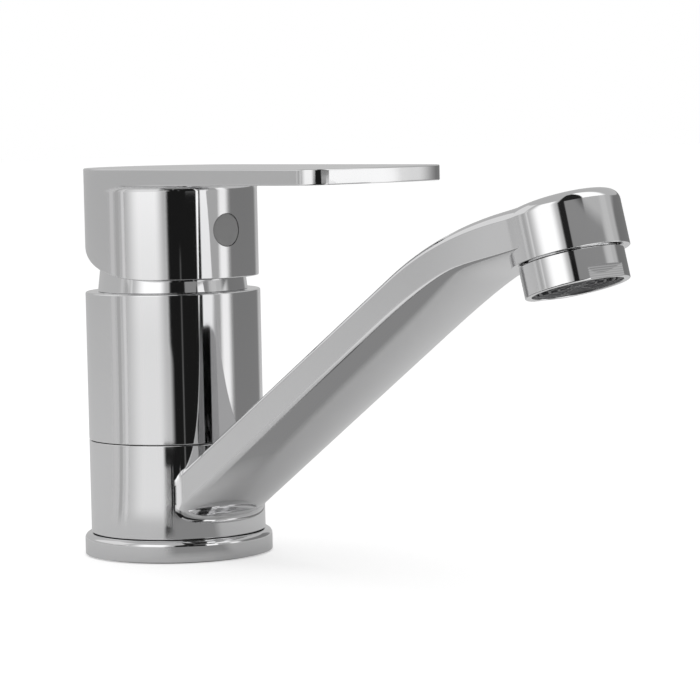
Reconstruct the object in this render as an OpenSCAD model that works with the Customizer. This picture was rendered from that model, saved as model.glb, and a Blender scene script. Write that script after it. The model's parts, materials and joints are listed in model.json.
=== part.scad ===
// Single lever basin mixer tap with a swivel spout.
// Millimetres, +Z up. The origin is the centre of the mounting face on the basin,
// and +X points along the spout and the lever, which both face forward at rest.

/* [Base] */
// Width of the flange's lip around the barrel
base_lip = 1.9; // [1.5:0.1:4]
// Height of the flange's top face
base_h = 6.4; // [6.2:0.1:8]
// Radius of the flange's rounded top edge
base_edge_r = 1.6; // [0.6:0.1:1.8]
// Thickness of the plate that closes the flange inside
base_plate_h = 2.4; // [2:0.1:2.8]
// Distance from the flange's edge to the gasket
gasket_inset = 1.9; // [1.2:0.1:2.8]
// Width of the gasket
gasket_w = 4; // [3:0.25:5]
// Thickness of the gasket
gasket_h = 1.2; // [1:0.1:1.5]
// Gap between the basin and the flange, which the gasket bridges
gasket_stand = 0.4; // [0.3:0.1:0.6]
// Distance from the stem's surface in to the flange's three screws
screw_inset = 4.4; // [4.2:0.1:4.8]
// Thread diameter of the flange's screws
screw_d = 3; // [2.5:0.1:3.2]
// Depth that the screws reach into the stem
screw_grip = 4.4; // [3:0.1:5]

/* [Body] */
// Diameter of the barrel and of the swivel ring
body_d = 50; // [49.6:0.2:53]
// Height of the seam between the swivel ring and the barrel
seam_z = 33.2; // [32.4:0.2:36]
// Height of the barrel's top, which carries all that lies above it
body_h = 75.5; // [70:0.5:90]
// Diameter of the stem that the swivel ring turns on
stem_d = 36; // [35.6:0.1:36.4]
// Height of the stem's foot above the basin
stem_foot_z = 4.7; // [4.4:0.1:5]
// Bevel on the barrel's edges
edge_bevel = 0.5; // [0.2:0.1:0.8]

/* [Swivel] */
// Radial running clearance of the ring on the stem
swivel_clearance = 0.05; // [0.03:0.01:0.08]
// Visible gap above and below the swivel ring
ring_gap = 0.2; // [0.15:0.05:0.4]
// Thickness of the glide rings
glide_h = 1; // [0.8:0.1:1.2]
// Width of the glide rings
glide_w = 2.2; // [1.6:0.1:2.4]
// Thickness of the stem's seals
seal_d = 2; // [1.6:0.1:2.2]
// Height of the lower seal
lower_seal_z = 11.6; // [11.2:0.1:12.2]
// Height of the upper seal
upper_seal_z = 28.4; // [27.6:0.1:29.2]
// Diameter of the pin that stops the swing
stop_pin_d = 2.5; // [2:0.1:2.6]
// Length of the stop pin inside the ring
stop_pin_reach = 2.8; // [2:0.1:3.2]
// Swing of the spout to each side, in degrees
swing = 75; // [30:5:110]

/* [Waterways] */
// Distance between the hot and the cold inlet
inlet_spacing = 15.6; // [15.2:0.1:16]
// Place of the two inlets along X
inlet_x = 4; // [3.6:0.1:4.4]
// Drilled diameter of the M10 hose threads
inlet_thread_d = 9; // [8.6:0.1:9.2]
// Depth of the hose threads
inlet_thread_depth = 10.5; // [8:0.5:11]
// Diameter of the inlet waterways
inlet_port_d = 5.4; // [4.6:0.1:5.6]
// Place of the outlet waterway along X
outlet_port_x = -3.5; // [-3.8:0.1:-3.2]
// Diameter of the outlet waterway
outlet_port_d = 5.6; // [4.8:0.1:5.8]
// Height of the channel that feeds the spout
channel_z = 20; // [19.5:0.1:20.5]
// Width of that channel
channel_w = 8; // [7.6:0.1:8.4]
// Depth of that channel
channel_depth = 2.4; // [1.5:0.1:2.6]
// Place of the fixing stud along X
stud_x = -10.8; // [-11:0.1:-10.4]
// Drilled diameter of the M8 stud thread
stud_thread_d = 6.8; // [6.6:0.1:7]
// Depth of the stud thread
stud_depth = 9.5; // [7:0.5:10]

/* [Cartridge] */
// Outer diameter of the cartridge
cartridge_d = 35; // [34.8:0.1:35.4]
// Diameter of the cartridge's neck
neck_d = 27; // [26.8:0.1:27.4]
// Distance from the barrel's top down to the hinge that the handle tips about
pivot_drop = 5.5; // [5.3:0.1:5.9]
// Depth of the chamber for the cartridge
chamber_depth = 31.5; // [31.3:0.1:32]
// Thickness of each ceramic disc
disc_h = 3; // [2.8:0.1:3.1]
// Wall of the cartridge around the fixed ceramic disc
disc_wall = 4.5; // [4.4:0.1:4.7]
// Distance from the hinge down to the centre of the spindle's ball
spindle_drop = 11; // [10.8:0.1:11.2]
// Diameter of the spindle's ball
ball_d = 4.4; // [4:0.1:4.6]
// Width of the spindle's square end
square_w = 8; // [7.6:0.1:8.2]
// Diameter of the hinge pin
pin_d = 4; // [3.6:0.1:4.2]
// Turn of the handle to each side, in degrees
turn = 50; // [30:5:55]
// Lift of the handle, in degrees
lift = 25; // [15:1:25]
// Clearance between the parts inside the cartridge
cartridge_play = 0.05; // [0.03:0.01:0.08]

/* [Collar] */
// Diameter of the collar at the barrel
collar_d = 42.8; // [42.4:0.1:43.2]
// Diameter of the collar where its dome starts
collar_top_d = 41.4; // [41.2:0.1:41.6]
// Height of the collar below its dome
collar_h = 5.9; // [5.6:0.1:6.2]
// Height of the whole collar with its dome
collar_total_h = 11; // [10:0.1:11.2]
// Thickness of the collar's dome
collar_wall = 1.3; // [1:0.1:1.5]
// Diameter of the collar's mouth
collar_mouth_d = 31; // [30.6:0.1:31.4]
// Diameter of the clamp nut's thread
nut_d = 38.8; // [38.4:0.1:39.2]
// Width across the clamp nut's flats
nut_flats = 30; // [29:0.2:30.4]

/* [Handle] */
// Diameter of the handle's cap
cap_d = 49.4; // [49:0.2:50.6]
// Wall of the cap
cap_wall = 2.2; // [1.8:0.1:2.4]
// Gap between the barrel's top and the cap's lower edge at the front
cap_gap = 3.8; // [3.3:0.1:4.5]
// Radius of the long arc that the cap's lower edge follows
cap_cut_r = 60; // [55:1:65]
// Place along X where that arc starts
cap_cut_x = 16; // [14:0.5:18]
// Height of the handle's flat top above the barrel
handle_rise = 35.1; // [34.8:0.1:37.5]
// Thickness of the lever where it leaves the cap
lever_root_h = 4.7; // [4.2:0.1:5.2]
// Thickness of the lever at its tip
lever_tip_h = 4.2; // [3.6:0.1:4.6]
// Distance from the axis to the lever's tip
lever_reach = 91.7; // [80:0.1:110]
// Radius of the lever's arched tip
lever_tip_r = 84; // [70:1:120]
// Radius of the lever's two corners
lever_corner_r = 5; // [3:0.5:8]
// Fillet between the lever and the cap
lever_fillet_r = 3; // [1.5:0.25:4]
// Diameter of the boss that holds the spindle
boss_d = 12.8; // [12.4:0.1:13]
// Height of the boss's lower face above the barrel
boss_rise = 15; // [14.7:0.1:15.5]
// Height of the grub screw and of the plug above the barrel
plug_rise = 17.4; // [17.2:0.1:18.5]
// Diameter of the plug
plug_d = 9.2; // [8:0.2:10]
// Diameter of the grub screw
grub_d = 5; // [4:0.2:5]

/* [Spout] */
// Distance from the axis to the centre of the head's rim
head_x = 157.4; // [150:0.5:175]
// Height of the centre of the head's rim
head_z = 88.2; // [86:0.2:92]
// Outward tilt of the outlet, in degrees
head_tilt = 15.7; // [12:0.5:18]
// Diameter of the head
head_d = 30.2; // [29.6:0.1:31]
// Height of the head along its axis
head_h = 14.6; // [14:0.1:15.4]
// Radius of the head's rounded top edge
head_edge_r = 3.5; // [2.5:0.25:4]
// Rise of the arm, in degrees
arm_rise = 32.7; // [31.5:0.25:34]
// Height at which the arm's top line, drawn on, meets the axis
arm_axis_z = 13.5; // [13:0.1:14]
// Radius of the arm's bend above the head
arm_bend_r = 80; // [60:5:120]
// Width of the arm at the ring
arm_root_w = 30.4; // [29:0.2:30.8]
// Width of the arm at the head
arm_head_w = 29.6; // [28.8:0.1:29.6]
// Height of the arm at the ring
arm_root_h = 14.8; // [14.2:0.2:15.6]
// Height of the arm before the head
arm_head_h = 12.5; // [12:0.25:13.5]
// Radius of the arm's top edges at the ring
arm_edge_r = 1.5; // [1:0.25:2.5]
// Fillet between the arm and the ring
arm_fillet_r = 1.8; // [1:0.1:2.2]
// Wall of the arm and of the head
spout_wall = 2.6; // [2.2:0.1:3]

/* [Aerator] */
// Diameter of the aerator's visible sleeve
aerator_d = 26.8; // [26:0.1:27.4]
// Height of the visible sleeve
aerator_h = 7.2; // [6.4:0.1:8.4]
// Gap between the head's rim and the sleeve
aerator_gap = 1; // [0.6:0.1:1.4]
// Diameter of the aerator's thread
aerator_thread_d = 23.4; // [23.2:0.1:23.8]
// Length of the thread inside the head
aerator_thread_h = 6.4; // [5.5:0.1:6.6]
// Bore of the sleeve
aerator_bore_d = 21.2; // [20.8:0.1:21.4]
// Width across the sleeve's two flats
aerator_flats = 24.4; // [24:0.1:25.2]
// Height of the flats
aerator_flat_h = 3.3; // [2.5:0.1:4]
// Angle at which the flats stop when the sleeve is screwed home
aerator_turn = -8; // [-15:1:15]
// Depth of the outlet grid inside the sleeve
grid_inset = 0.6; // [0.3:0.1:1.2]

/* [Hidden] */
$fn = 96;
// Clearance of pieces that are pressed or screwed into one another
fit = 0.02;
// Reach of a cutting tool past the face that it cuts
over = 1;

body_r = body_d / 2;
stem_r = stem_d / 2;
ring_bore_r = stem_r + swivel_clearance;
ring_z0 = base_h + ring_gap;
ring_z1 = seam_z - ring_gap / 2;
barrel_z0 = seam_z + ring_gap / 2;
base_r = body_r + base_lip;
gasket_r = base_r - gasket_inset;
gasket_bore_r = gasket_r - gasket_w;

// The glide rings lie in recesses, a hair clear of the turning ring.
glide_play = 0.03;
glide_inset = 0.3;
glide_side_play = 0.1;
glide_r0 = stem_r + glide_inset;
glide_r1 = glide_r0 + glide_w;
glide_seat_r = glide_r1 + glide_side_play;
lower_glide_z = ring_z0 - glide_play - glide_h;
upper_glide_z = ring_z1 + glide_play;

// Seals: each O-ring fills its groove up to the stem's own surface.
groove_side_play = 0.5;
groove_back_play = 0.1;
groove_w = seal_d + groove_side_play;
groove_r = stem_r - seal_d - groove_back_play;
seal_centre_r = stem_r - seal_d / 2 - fit;

// The stop pin stands on a circle between the glide ring and the outer wall.
stop_play = 0.2;
stop_wall = 0.7;
stop_floor = 1.4;
stop_end_play = 0.4;
stop_pin_r = stop_pin_d / 2;
stop_circle_r = glide_seat_r + stop_wall + stop_pin_r;
stop_z0 = gasket_h + stop_floor;
stop_z1 = ring_z0 + stop_pin_reach;
stop_slot_r = stop_pin_r + stop_play;
stop_half = swing + asin(stop_slot_r / stop_circle_r);

// Flange screws, countersunk into the flange's plate from below.
screw_count = 3;
screw_play = 0.1;
screw_end_play = 0.4;
screw_socket_depth = 1.2;
screw_socket_r = 1.05;
screw_r = stem_r - screw_inset;
screw_shank_r = screw_d / 2;
screw_head_r = screw_d;
screw_head_h = screw_head_r - screw_shank_r;
base_plate_z = stem_foot_z - base_plate_h;
screw_tip_z = stem_foot_z + screw_grip;
// The flange clears the hoses' nuts and the stud by these widths, and the stem by the last.
hose_room = 2.2;
stud_room = 0.8;
foot_play = 0.1;
hose_hole_r = inlet_thread_d / 2 + hose_room;
stud_hole_r = stud_thread_d / 2 + stud_room;

inlet_y = inlet_spacing / 2;
inlet_port_r = inlet_port_d / 2;
outlet_port_r = outlet_port_d / 2;
channel_r = stem_r - channel_depth;
radial_port_inset = 0.5;
radial_port_r = channel_w / 2 - radial_port_inset;

// Cartridge stack from the chamber's floor up.
chamber_play = 0.1;
shoulder_drop = 5.5;
neck_rise = 5.6;
ball_end_play = 0.4;
disc_gap = 0.02;
driver_h = 4.3;
pivot_z = body_h - pivot_drop;
chamber_z = body_h - chamber_depth;
cartridge_r = cartridge_d / 2;
chamber_r = cartridge_r + chamber_play;
neck_r = neck_d / 2;
shoulder_z = pivot_z - shoulder_drop;
cartridge_top_z = pivot_z + neck_rise;
ball_z = pivot_z - spindle_drop;
driver_z0 = ball_z - ball_d / 2 - ball_end_play;
driver_z1 = driver_z0 + driver_h;
moving_disc_z = driver_z0 - disc_h;
fixed_disc_z = moving_disc_z - disc_gap - disc_h;
cartridge_z0 = chamber_z + chamber_play;
disc_play = 0.4;
insert_wall = 1.3;
port_seal_wall = 1.4;
fixed_disc_r = cartridge_r - disc_wall;
disc_room_r = fixed_disc_r + disc_play;
base_insert_r = cartridge_r - insert_wall;
// The disc slides forward by its stroke, and rests half of it behind the middle.
slide_margin = 0.5;
stroke = spindle_drop * sin(lift);
disc_rest_x = -stroke / 2;
moving_disc_r = disc_room_r - stroke / 2 - slide_margin;
// The carrier turns in the housing, and its lug runs in a notch that ends the turn.
carrier_play = 0.3;
driver_play = 0.2;
driver_inset = 1.1;
rail_play = 0.15;
neck_wall = 3;
carrier_inset = 0.6;
carrier_flange_r = disc_room_r - carrier_play;
carrier_flange_h = 2.6;
carrier_z0 = driver_z1 + driver_play;
carrier_r = neck_r - neck_wall;
carrier_top_z = cartridge_top_z - carrier_inset;
rail_w = 2;
rail_h = 2.2;
rail_y = 7.5;
lug_reach = 2;
lug_r = carrier_r + lug_reach;
lug_w = 3.2;
lug_h = 1.8;
lug_play = 0.2;
notch_half = turn + asin((lug_w / 2 + lug_play) / carrier_r);

// Spindle sizes around the hinge.
pin_inset = 0.5;
pin_end_play = 0.1;
pin_eye_wall = 1.5;
cheek_play = 0.2;
slot_play = 0.8;
square_rise = 2.5;
square_grip = 11.5;
square_play = 0.05;
square_end_play = 0.3;
ball_play = 0.35;
pin_r = pin_d / 2;
pin_len = 2 * (carrier_r - pin_inset);
pin_run = pin_r + cartridge_play;
cheek_w = 6.6;
cheek_half = pin_run + pin_eye_wall;
slot_w = cheek_w + 2 * cheek_play;
boss_z = body_h + boss_rise;
square_z0 = carrier_top_z + square_rise;
spindle_top_z = boss_z + square_grip;
socket_half = ball_d / 2 + ball_play;
socket_w = square_w + 2 * square_play;
// The ball hangs on a thin round neck below the cheek.
ball_neck_r = 1.5;
neck_top_z = ball_z + 1.8;

// Collar: above its straight part it is a ball about the hinge.
collar_z = body_h + fit;
collar_dome_z = body_h + collar_h;
collar_top_z = body_h + collar_total_h;
collar_ball_r = sqrt(pow(collar_top_d / 2, 2) + pow(collar_dome_z - pivot_z, 2));
// The clamp nut: thread, neck with the seal's groove, and a hexagon.
nut_play = 0.4;
nut_lip = 0.8;
nut_sink = 1;
nut_neck_h = 3.8;
nut_hex_h = 4.2;
cover_seal_d = 1.9;
cover_seal_rise = 2;
cover_seal_sink = 0.15;
cover_seal_play = 0.1;
collar_play = 0.05;
nut_r = nut_d / 2;
nut_z0 = shoulder_z + chamber_play;
nut_bore_r = neck_r + nut_play;
nut_neck_r = nut_r - nut_lip;
nut_neck_z = body_h - nut_sink;
nut_hex_z = nut_neck_z + nut_neck_h;
nut_top_z = nut_hex_z + nut_hex_h;
cover_seal_z = nut_neck_z + cover_seal_rise;
cover_seal_r = nut_neck_r - cover_seal_sink;
collar_bore_r = cover_seal_r + cover_seal_d / 2 + collar_play;

cap_r = cap_d / 2;
cap_inner_r = cap_r - cap_wall;
cap_front_z = body_h + cap_gap;
handle_top_z = body_h + handle_rise;
lever_under_z = handle_top_z - lever_root_h;
ceiling_rise = 0.2;
cap_ceiling_z = lever_under_z + ceiling_rise;
boss_r = boss_d / 2;
// The lug is a bar in front of the boss with one wall around the grub screw.
grub_wall = 1.5;
grub_r = grub_d / 2;
grub_len = 8;
grub_socket_depth = 2.5;
grub_socket_r = 1.45;
plug_z = body_h + plug_rise;
lug_bar_x = boss_r + 7;
lug_bar_half = grub_r + grub_wall;
lug_bar_z = plug_z - grub_r - grub_wall;
plug_r = plug_d / 2;
plug_play = 0.1;
plug_tail = 1.8;
plug_depth = cap_wall + plug_tail;

// Plan of the lever: straight sides, round corners and an arched tip.
tip_arc_x = lever_reach - lever_tip_r;
corner_y = cap_r - lever_corner_r;
corner_x = tip_arc_x + sqrt(pow(lever_tip_r - lever_corner_r, 2) - pow(corner_y, 2));

// Spout lines in the XZ plane. The head's top face is square to the outlet.
head_r = head_d / 2;
// The arm's top line runs this far below the head's top face.
arm_sink = 0.05;
head_top_x = head_x - head_h * sin(head_tilt);
head_top_z = head_z + head_h * cos(head_tilt);
bend_x = (head_top_z - arm_sink - head_top_x * tan(head_tilt) - arm_axis_z)
    / (tan(arm_rise) - tan(head_tilt));
bend_len = arm_bend_r * tan((arm_rise - head_tilt) / 2);
bend_x0 = bend_x - bend_len * cos(arm_rise);
bend_x1 = bend_x + bend_len * cos(head_tilt);
bend_cx = bend_x0 + arm_bend_r * sin(arm_rise);
bend_cz = arm_axis_z + bend_x0 * tan(arm_rise) - arm_bend_r * cos(arm_rise);
root_run = 5;
root_x = body_r + root_run;

// Height of the arm's top line over x.
function arm_top(x) =
    x < bend_x0 ? arm_axis_z + x * tan(arm_rise)
    : x < bend_x1 ? bend_cz + sqrt(pow(arm_bend_r, 2) - pow(x - bend_cx, 2))
    : head_top_z - arm_sink + (x - head_top_x) * tan(head_tilt);

// The belly line runs through the arm's two stated heights.
belly_x0 = root_x + arm_root_h * sin(arm_rise);
belly_z0 = arm_top(root_x) - arm_root_h * cos(arm_rise);
belly_x1 = bend_x0 + arm_head_h * sin(arm_rise);
belly_z1 = arm_top(bend_x0) - arm_head_h * cos(arm_rise);
belly_m = (belly_z1 - belly_z0) / (belly_x1 - belly_x0);
belly_c = belly_z0 - belly_m * belly_x0;
// Inside the head the belly turns square to the outlet, this high above the rim.
belly_in_head = 3;
head_floor_m = tan(head_tilt);
head_floor_c = head_z + belly_in_head * cos(head_tilt)
    - (head_x - belly_in_head * sin(head_tilt)) * head_floor_m;

// The section planes start to lean back this far before the bend.
lean_lead = 6;
lean_x0 = bend_x0 - lean_lead;

function ease(t) = let (u = min(1, max(0, t))) u * u * (3 - 2 * u);
function mix(a, b, t) = a + (b - a) * t;
// How far the section planes lean back from upright at a station.
function lean(x) = mix(arm_rise, head_tilt, ease((x - lean_x0) / (head_top_x - lean_x0)));
// Height of the arm square to its section plane, down to the lower of the two belly lines.
function drop_to(x, m, c) = (arm_top(x) - c - m * x) / (cos(lean(x)) + m * sin(lean(x)));
function arm_h(x) = max(drop_to(x, belly_m, belly_c), drop_to(x, head_floor_m, head_floor_c));
function arm_half(x) = mix(arm_root_w, arm_head_w, (x - root_x) / (head_top_x - root_x)) / 2;
function arm_edge(x) = mix(arm_edge_r, head_edge_r, ease((x - bend_x0) / (head_top_x - bend_x0)));

// One section is a closed ring: flat top, round top edges, straight sides, oval belly.
// A point is [y, v, ny, nv]: across, up, and the outward direction there.
edge_steps = 4;
belly_steps = 16;
belly_share = 0.58;
function edge_arc(w, r, side, steps) = [for (i = [0:steps])
    let (a = side > 0 ? 90 - 90 * i / steps : 180 - 90 * i / steps)
    [side * (w - r) + r * cos(a), r * sin(a) - r, cos(a), sin(a)]];
function belly_arc(w, h, steps) = [for (i = [0:steps])
    let (a = -180 * i / steps)
    let (b = belly_share * h)
    let (n = [cos(a) / w, sin(a) / b])
    [w * cos(a), b * sin(a) - (h - b), n[0] / norm(n), n[1] / norm(n)]];
function section(w, h, r, steps) = concat(
    edge_arc(w, r, 1, edge_steps),
    belly_arc(w, h, steps),
    edge_arc(w, r, -1, edge_steps));

// A section's point set square to the arm at station x.
function placed(x, p) = [
    x - p[1] * sin(lean(x)),
    p[0],
    arm_top(x) + p[1] * cos(lean(x))];
function arm_ring(x) = [for (p = section(arm_half(x), arm_h(x), arm_edge(x), belly_steps)) placed(x, p)];

// At the root the rings follow the swivel ring's wall at a distance g,
// and swell outward by the fillet's quarter circle.
function swell(g) = g < 0 ? arm_fillet_r
    : g > arm_fillet_r ? 0
    : arm_fillet_r - sqrt(pow(arm_fillet_r, 2) - pow(arm_fillet_r - g, 2));
function station(x, target, i) =
    let (p = section(arm_half(x), arm_h(x), arm_edge(x), belly_steps)[i])
    target + p[1] * sin(lean(x));
function root_point(g, i) =
    let (d = swell(g))
    let (p = section(arm_root_w / 2, arm_root_h, arm_edge_r, belly_steps)[i])
    let (target = sqrt(pow(body_r, 2) - pow(p[0] + d * p[2], 2)) + g)
    let (s = station(station(station(target, target, i), target, i), target, i))
    let (q = section(arm_half(s), arm_h(s), arm_edge(s), belly_steps)[i])
    [target, q[0] + d * q[2], placed(s, q)[2] + d * q[3]];
ring_size = 2 * (edge_steps + 1) + belly_steps + 1;
function root_ring(g) = [for (i = [0:ring_size - 1]) root_point(g, i)];
root_gaps = [for (t = [0, 10, 25, 40, 60, 90]) arm_fillet_r * (1 - cos(t))];
bend_steps = 7;
arm_first_x = root_x + over;
// The arm ends inside the head, a little before its axis.
arm_end_gap = 1.7;
arm_end_x = head_top_x - arm_end_gap;
arm_rings = concat(
    [root_ring(-1)],
    [for (g = root_gaps) root_ring(g)],
    [for (x = [arm_first_x, mix(arm_first_x, bend_x0, 0.5)]) arm_ring(x)],
    [for (i = [0:bend_steps]) arm_ring(mix(bend_x0, bend_x1, i / bend_steps))],
    [for (i = [1:3]) arm_ring(mix(bend_x1, arm_end_x, i / 3))]);

// The waterway inside the arm, one wall in from the arm_sink.
bore_steps = 10;
bore_edge_r = 1;
bore_size = 2 * (edge_steps + 1) + bore_steps + 1;
function bore_ring(x) =
    let (w = arm_half(x) - spout_wall)
    let (h = arm_h(x) - 2 * spout_wall)
    [for (p = section(w, h, bore_edge_r, bore_steps)) placed(x, [p[0], p[1] - spout_wall, p[2], p[3]])];
bore_first_x = body_r - over;
bore_rings = concat(
    [for (i = [0:3]) bore_ring(mix(bore_first_x, bend_x0, i / 3))],
    [for (i = [1:4]) bore_ring(mix(bend_x0, bend_x1, i / 4))],
    [bore_ring(mix(bend_x1, head_top_x, 0.6))]);

// The aerator's washer is pressed against a seat above the thread.
washer_h = 1.9;
washer_w = 3;
washer_play = 0.2;
washer_seat_z = aerator_thread_h + washer_h;
washer_bore_r = aerator_thread_d / 2 - washer_w;

function centre(ring) = [for (k = [0:2]) let (v = [for (p = ring) p[k]]) (max(v) + min(v)) / 2];

// A closed arm_sink over a list of rings with n points each.
module loft(rings, n, first_centre) {
    last = len(rings) - 1;
    start = n * len(rings);
    points = concat([for (r = rings) for (p = r) p], [first_centre, centre(rings[last])]);
    sides = [for (j = [0:last - 1]) for (i = [0:n - 1])
        let (a = j * n + i)
        let (b = j * n + (i + 1) % n)
        each [[a, b, b + n], [a, b + n, a + n]]];
    caps = [for (i = [0:n - 1]) each [
        [start, (i + 1) % n, i],
        [start + 1, last * n + i, last * n + (i + 1) % n]]];
    polyhedron(points, concat(sides, caps), convexity = 6);
}

// A tube between two heights.
module tube(r0, r1, z0, z1) {
    translate([0, 0, z0])
        difference() {
            cylinder(h = z1 - z0, r = r1);
            translate([0, 0, -over])
                cylinder(h = z1 - z0 + 2 * over, r = r0);
        }
}

// A plain disc between two heights.
module disc(r, z0, z1) {
    translate([0, 0, z0])
        cylinder(h = z1 - z0, r = r);
}

// An O-ring about the Z axis.
module o_ring(r, d, z) {
    translate([0, 0, z])
        rotate_extrude()
            translate([r, 0])
                circle(d = d);
}

// A body of revolution from a profile drawn in the XZ plane.
module turned() {
    rotate_extrude()
        children();
}

// Moves its children to the flange's screws.
module at_screws() {
    for (i = [0:screw_count - 1])
        rotate([0, 0, i * 360 / screw_count])
            translate([screw_r, 0, 0])
                children();
}

// Moves its children to the two inlets.
module at_inlets() {
    for (side = [-1, 1])
        translate([inlet_x, side * inlet_y, 0])
            children();
}

// Moves its children to the three ports of the cartridge.
module at_ports() {
    at_inlets()
        children();
    translate([outlet_port_x, 0, 0])
        children();
}

// Moves its children to the outlet's frame: origin in the rim, +Z up along its axis.
module at_outlet() {
    translate([head_x, 0, head_z])
        rotate([0, -head_tilt, 0])
            children();
}

// The stop slot's and the lug notch's form: an arc with upright ends about -X.
module arc_slot(r0, r1, half, z0, z1) {
    translate([0, 0, z0])
        rotate([0, 0, 180 - half])
            rotate_extrude(angle = 2 * half)
                translate([r0, 0])
                    square([r1 - r0, z1 - z0]);
}

module body_casting() {
    color("silver")
        difference() {
            union() {
                turned()
                    polygon([
                        [0, barrel_z0],
                        [body_r - edge_bevel / 2, barrel_z0],
                        [body_r, barrel_z0 + edge_bevel / 2],
                        [body_r, body_h - edge_bevel],
                        [body_r - edge_bevel, body_h],
                        [0, body_h]]);
                disc(stem_r, stem_foot_z, barrel_z0 + over);
            }
            disc(chamber_r, chamber_z, body_h + over);
            disc(nut_r + fit, shoulder_z, body_h + over);
            tube(stem_r, glide_seat_r, barrel_z0 - over, upper_glide_z + glide_h + fit);
            tube(channel_r, body_r, channel_z - channel_w / 2, channel_z + channel_w / 2);
            for (z = [lower_seal_z, upper_seal_z])
                tube(groove_r, body_r, z - groove_w / 2, z + groove_w / 2);
            at_inlets() {
                disc(inlet_port_r, stem_foot_z, chamber_z + over);
                disc(inlet_thread_d / 2, stem_foot_z - over, stem_foot_z + inlet_thread_depth);
            }
            translate([outlet_port_x, 0, 0])
                disc(outlet_port_r, channel_z, chamber_z + over);
            translate([outlet_port_x, 0, channel_z])
                rotate([0, -90, 0])
                    cylinder(h = stem_r, r = radial_port_r);
            translate([stud_x, 0, 0])
                disc(stud_thread_d / 2, stem_foot_z - over, stem_foot_z + stud_depth);
            at_screws()
                disc(screw_shank_r + fit, stem_foot_z - over, screw_tip_z + screw_end_play);
        }
}

module base_ring() {
    color("silver")
        difference() {
            turned() {
                translate([0, gasket_stand])
                    square([base_r, base_h - base_edge_r - gasket_stand]);
                square([base_r - base_edge_r, base_h]);
                translate([base_r - base_edge_r, base_h - base_edge_r])
                    circle(base_edge_r);
            }
            translate([0, 0, -over])
                cylinder(h = over + gasket_stand, r = base_r + over);
            disc(gasket_bore_r, -over, base_plate_z);
            tube(gasket_bore_r - over, gasket_r + fit, -over, gasket_h);
            disc(stem_r + foot_play, stem_foot_z, base_h + over);
            disc(glide_seat_r, lower_glide_z, base_h + over);
            at_inlets()
                disc(hose_hole_r, 0, base_h);
            translate([stud_x, 0, 0])
                disc(stud_hole_r, 0, base_h);
            at_screws() {
                disc(screw_shank_r + screw_play, 0, base_h);
                translate([0, 0, base_plate_z - fit])
                    cylinder(h = screw_head_h + fit, r1 = screw_head_r + screw_play,
                        r2 = screw_shank_r + screw_play);
            }
            translate([-stop_circle_r, 0, 0])
                disc(stop_pin_r + fit, stop_z0, base_h + over);
        }
}

module base_gasket() {
    color("dimgray")
        tube(gasket_bore_r, gasket_r, 0, gasket_h - fit);
}

module base_screws() {
    color("lightsteelblue")
        at_screws()
            difference() {
                union() {
                    disc(screw_shank_r, base_plate_z + fit, screw_tip_z);
                    translate([0, 0, base_plate_z])
                        cylinder(h = screw_head_h, r1 = screw_head_r, r2 = screw_shank_r);
                }
                translate([0, 0, base_plate_z - over])
                    cylinder(h = over + screw_socket_depth, r = screw_socket_r, $fn = 6);
            }
}

module swivel_stop_pin() {
    color("lightsteelblue")
        translate([-stop_circle_r, 0, 0])
            disc(stop_pin_r, stop_z0, stop_z1);
}

module lower_glide_ring() {
    color("white")
        tube(glide_r0, glide_r1, lower_glide_z + fit, lower_glide_z + glide_h);
}

module upper_glide_ring() {
    color("white")
        tube(glide_r0, glide_r1, upper_glide_z, upper_glide_z + glide_h);
}

module lower_seal() {
    color("dimgray")
        o_ring(seal_centre_r, seal_d, lower_seal_z);
}

module upper_seal() {
    color("dimgray")
        o_ring(seal_centre_r, seal_d, upper_seal_z);
}

module clamp_nut() {
    color("goldenrod")
        difference() {
            union() {
                disc(nut_r, nut_z0, nut_neck_z);
                disc(nut_neck_r, nut_neck_z - over, nut_hex_z);
                translate([0, 0, nut_hex_z - over])
                    cylinder(h = nut_top_z - nut_hex_z + over, d = nut_flats / cos(30), $fn = 6);
            }
            disc(nut_bore_r, nut_z0 - over, nut_top_z + over);
            tube(cover_seal_r - cover_seal_d / 2 - fit, body_r,
                cover_seal_z - cover_seal_d / 2 - cover_seal_play,
                cover_seal_z + cover_seal_d / 2 + cover_seal_play);
        }
}

module cover_seal() {
    color("dimgray")
        o_ring(cover_seal_r, cover_seal_d, cover_seal_z);
}

module cartridge_cover() {
    color("silver")
        difference() {
            union() {
                translate([0, 0, collar_z])
                    cylinder(h = collar_dome_z - collar_z, d1 = collar_d, d2 = collar_top_d);
                intersection() {
                    translate([0, 0, pivot_z])
                        sphere(collar_ball_r);
                    disc(collar_top_d / 2, collar_dome_z - fit, collar_top_z);
                }
            }
            intersection() {
                translate([0, 0, pivot_z])
                    sphere(collar_ball_r - collar_wall);
                disc(collar_bore_r, pivot_z, collar_top_z + over);
            }
            disc(collar_mouth_d / 2, body_h, collar_top_z + over);
        }
}

module cartridge_housing() {
    color("gainsboro")
        difference() {
            union() {
                disc(cartridge_r, cartridge_z0, shoulder_z);
                disc(neck_r, shoulder_z - over, cartridge_top_z);
            }
            disc(base_insert_r + fit, cartridge_z0 - over, fixed_disc_z);
            disc(disc_room_r, cartridge_z0, carrier_z0 + carrier_flange_h + carrier_play);
            disc(carrier_r + cartridge_play, cartridge_z0, cartridge_top_z + over);
            arc_slot(carrier_r - over, lug_r + lug_play, notch_half,
                carrier_top_z - lug_h - carrier_play, cartridge_top_z + over);
        }
}

module cartridge_base() {
    color("dimgray")
        difference() {
            disc(base_insert_r, cartridge_z0, fixed_disc_z - fit);
            at_ports()
                disc(outlet_port_r + port_seal_wall + fit, cartridge_z0 - over, fixed_disc_z + over);
        }
}

module port_seals() {
    color("dimgray")
        at_ports()
            tube(outlet_port_r, outlet_port_r + port_seal_wall, chamber_z + fit, fixed_disc_z - fit);
}

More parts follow.
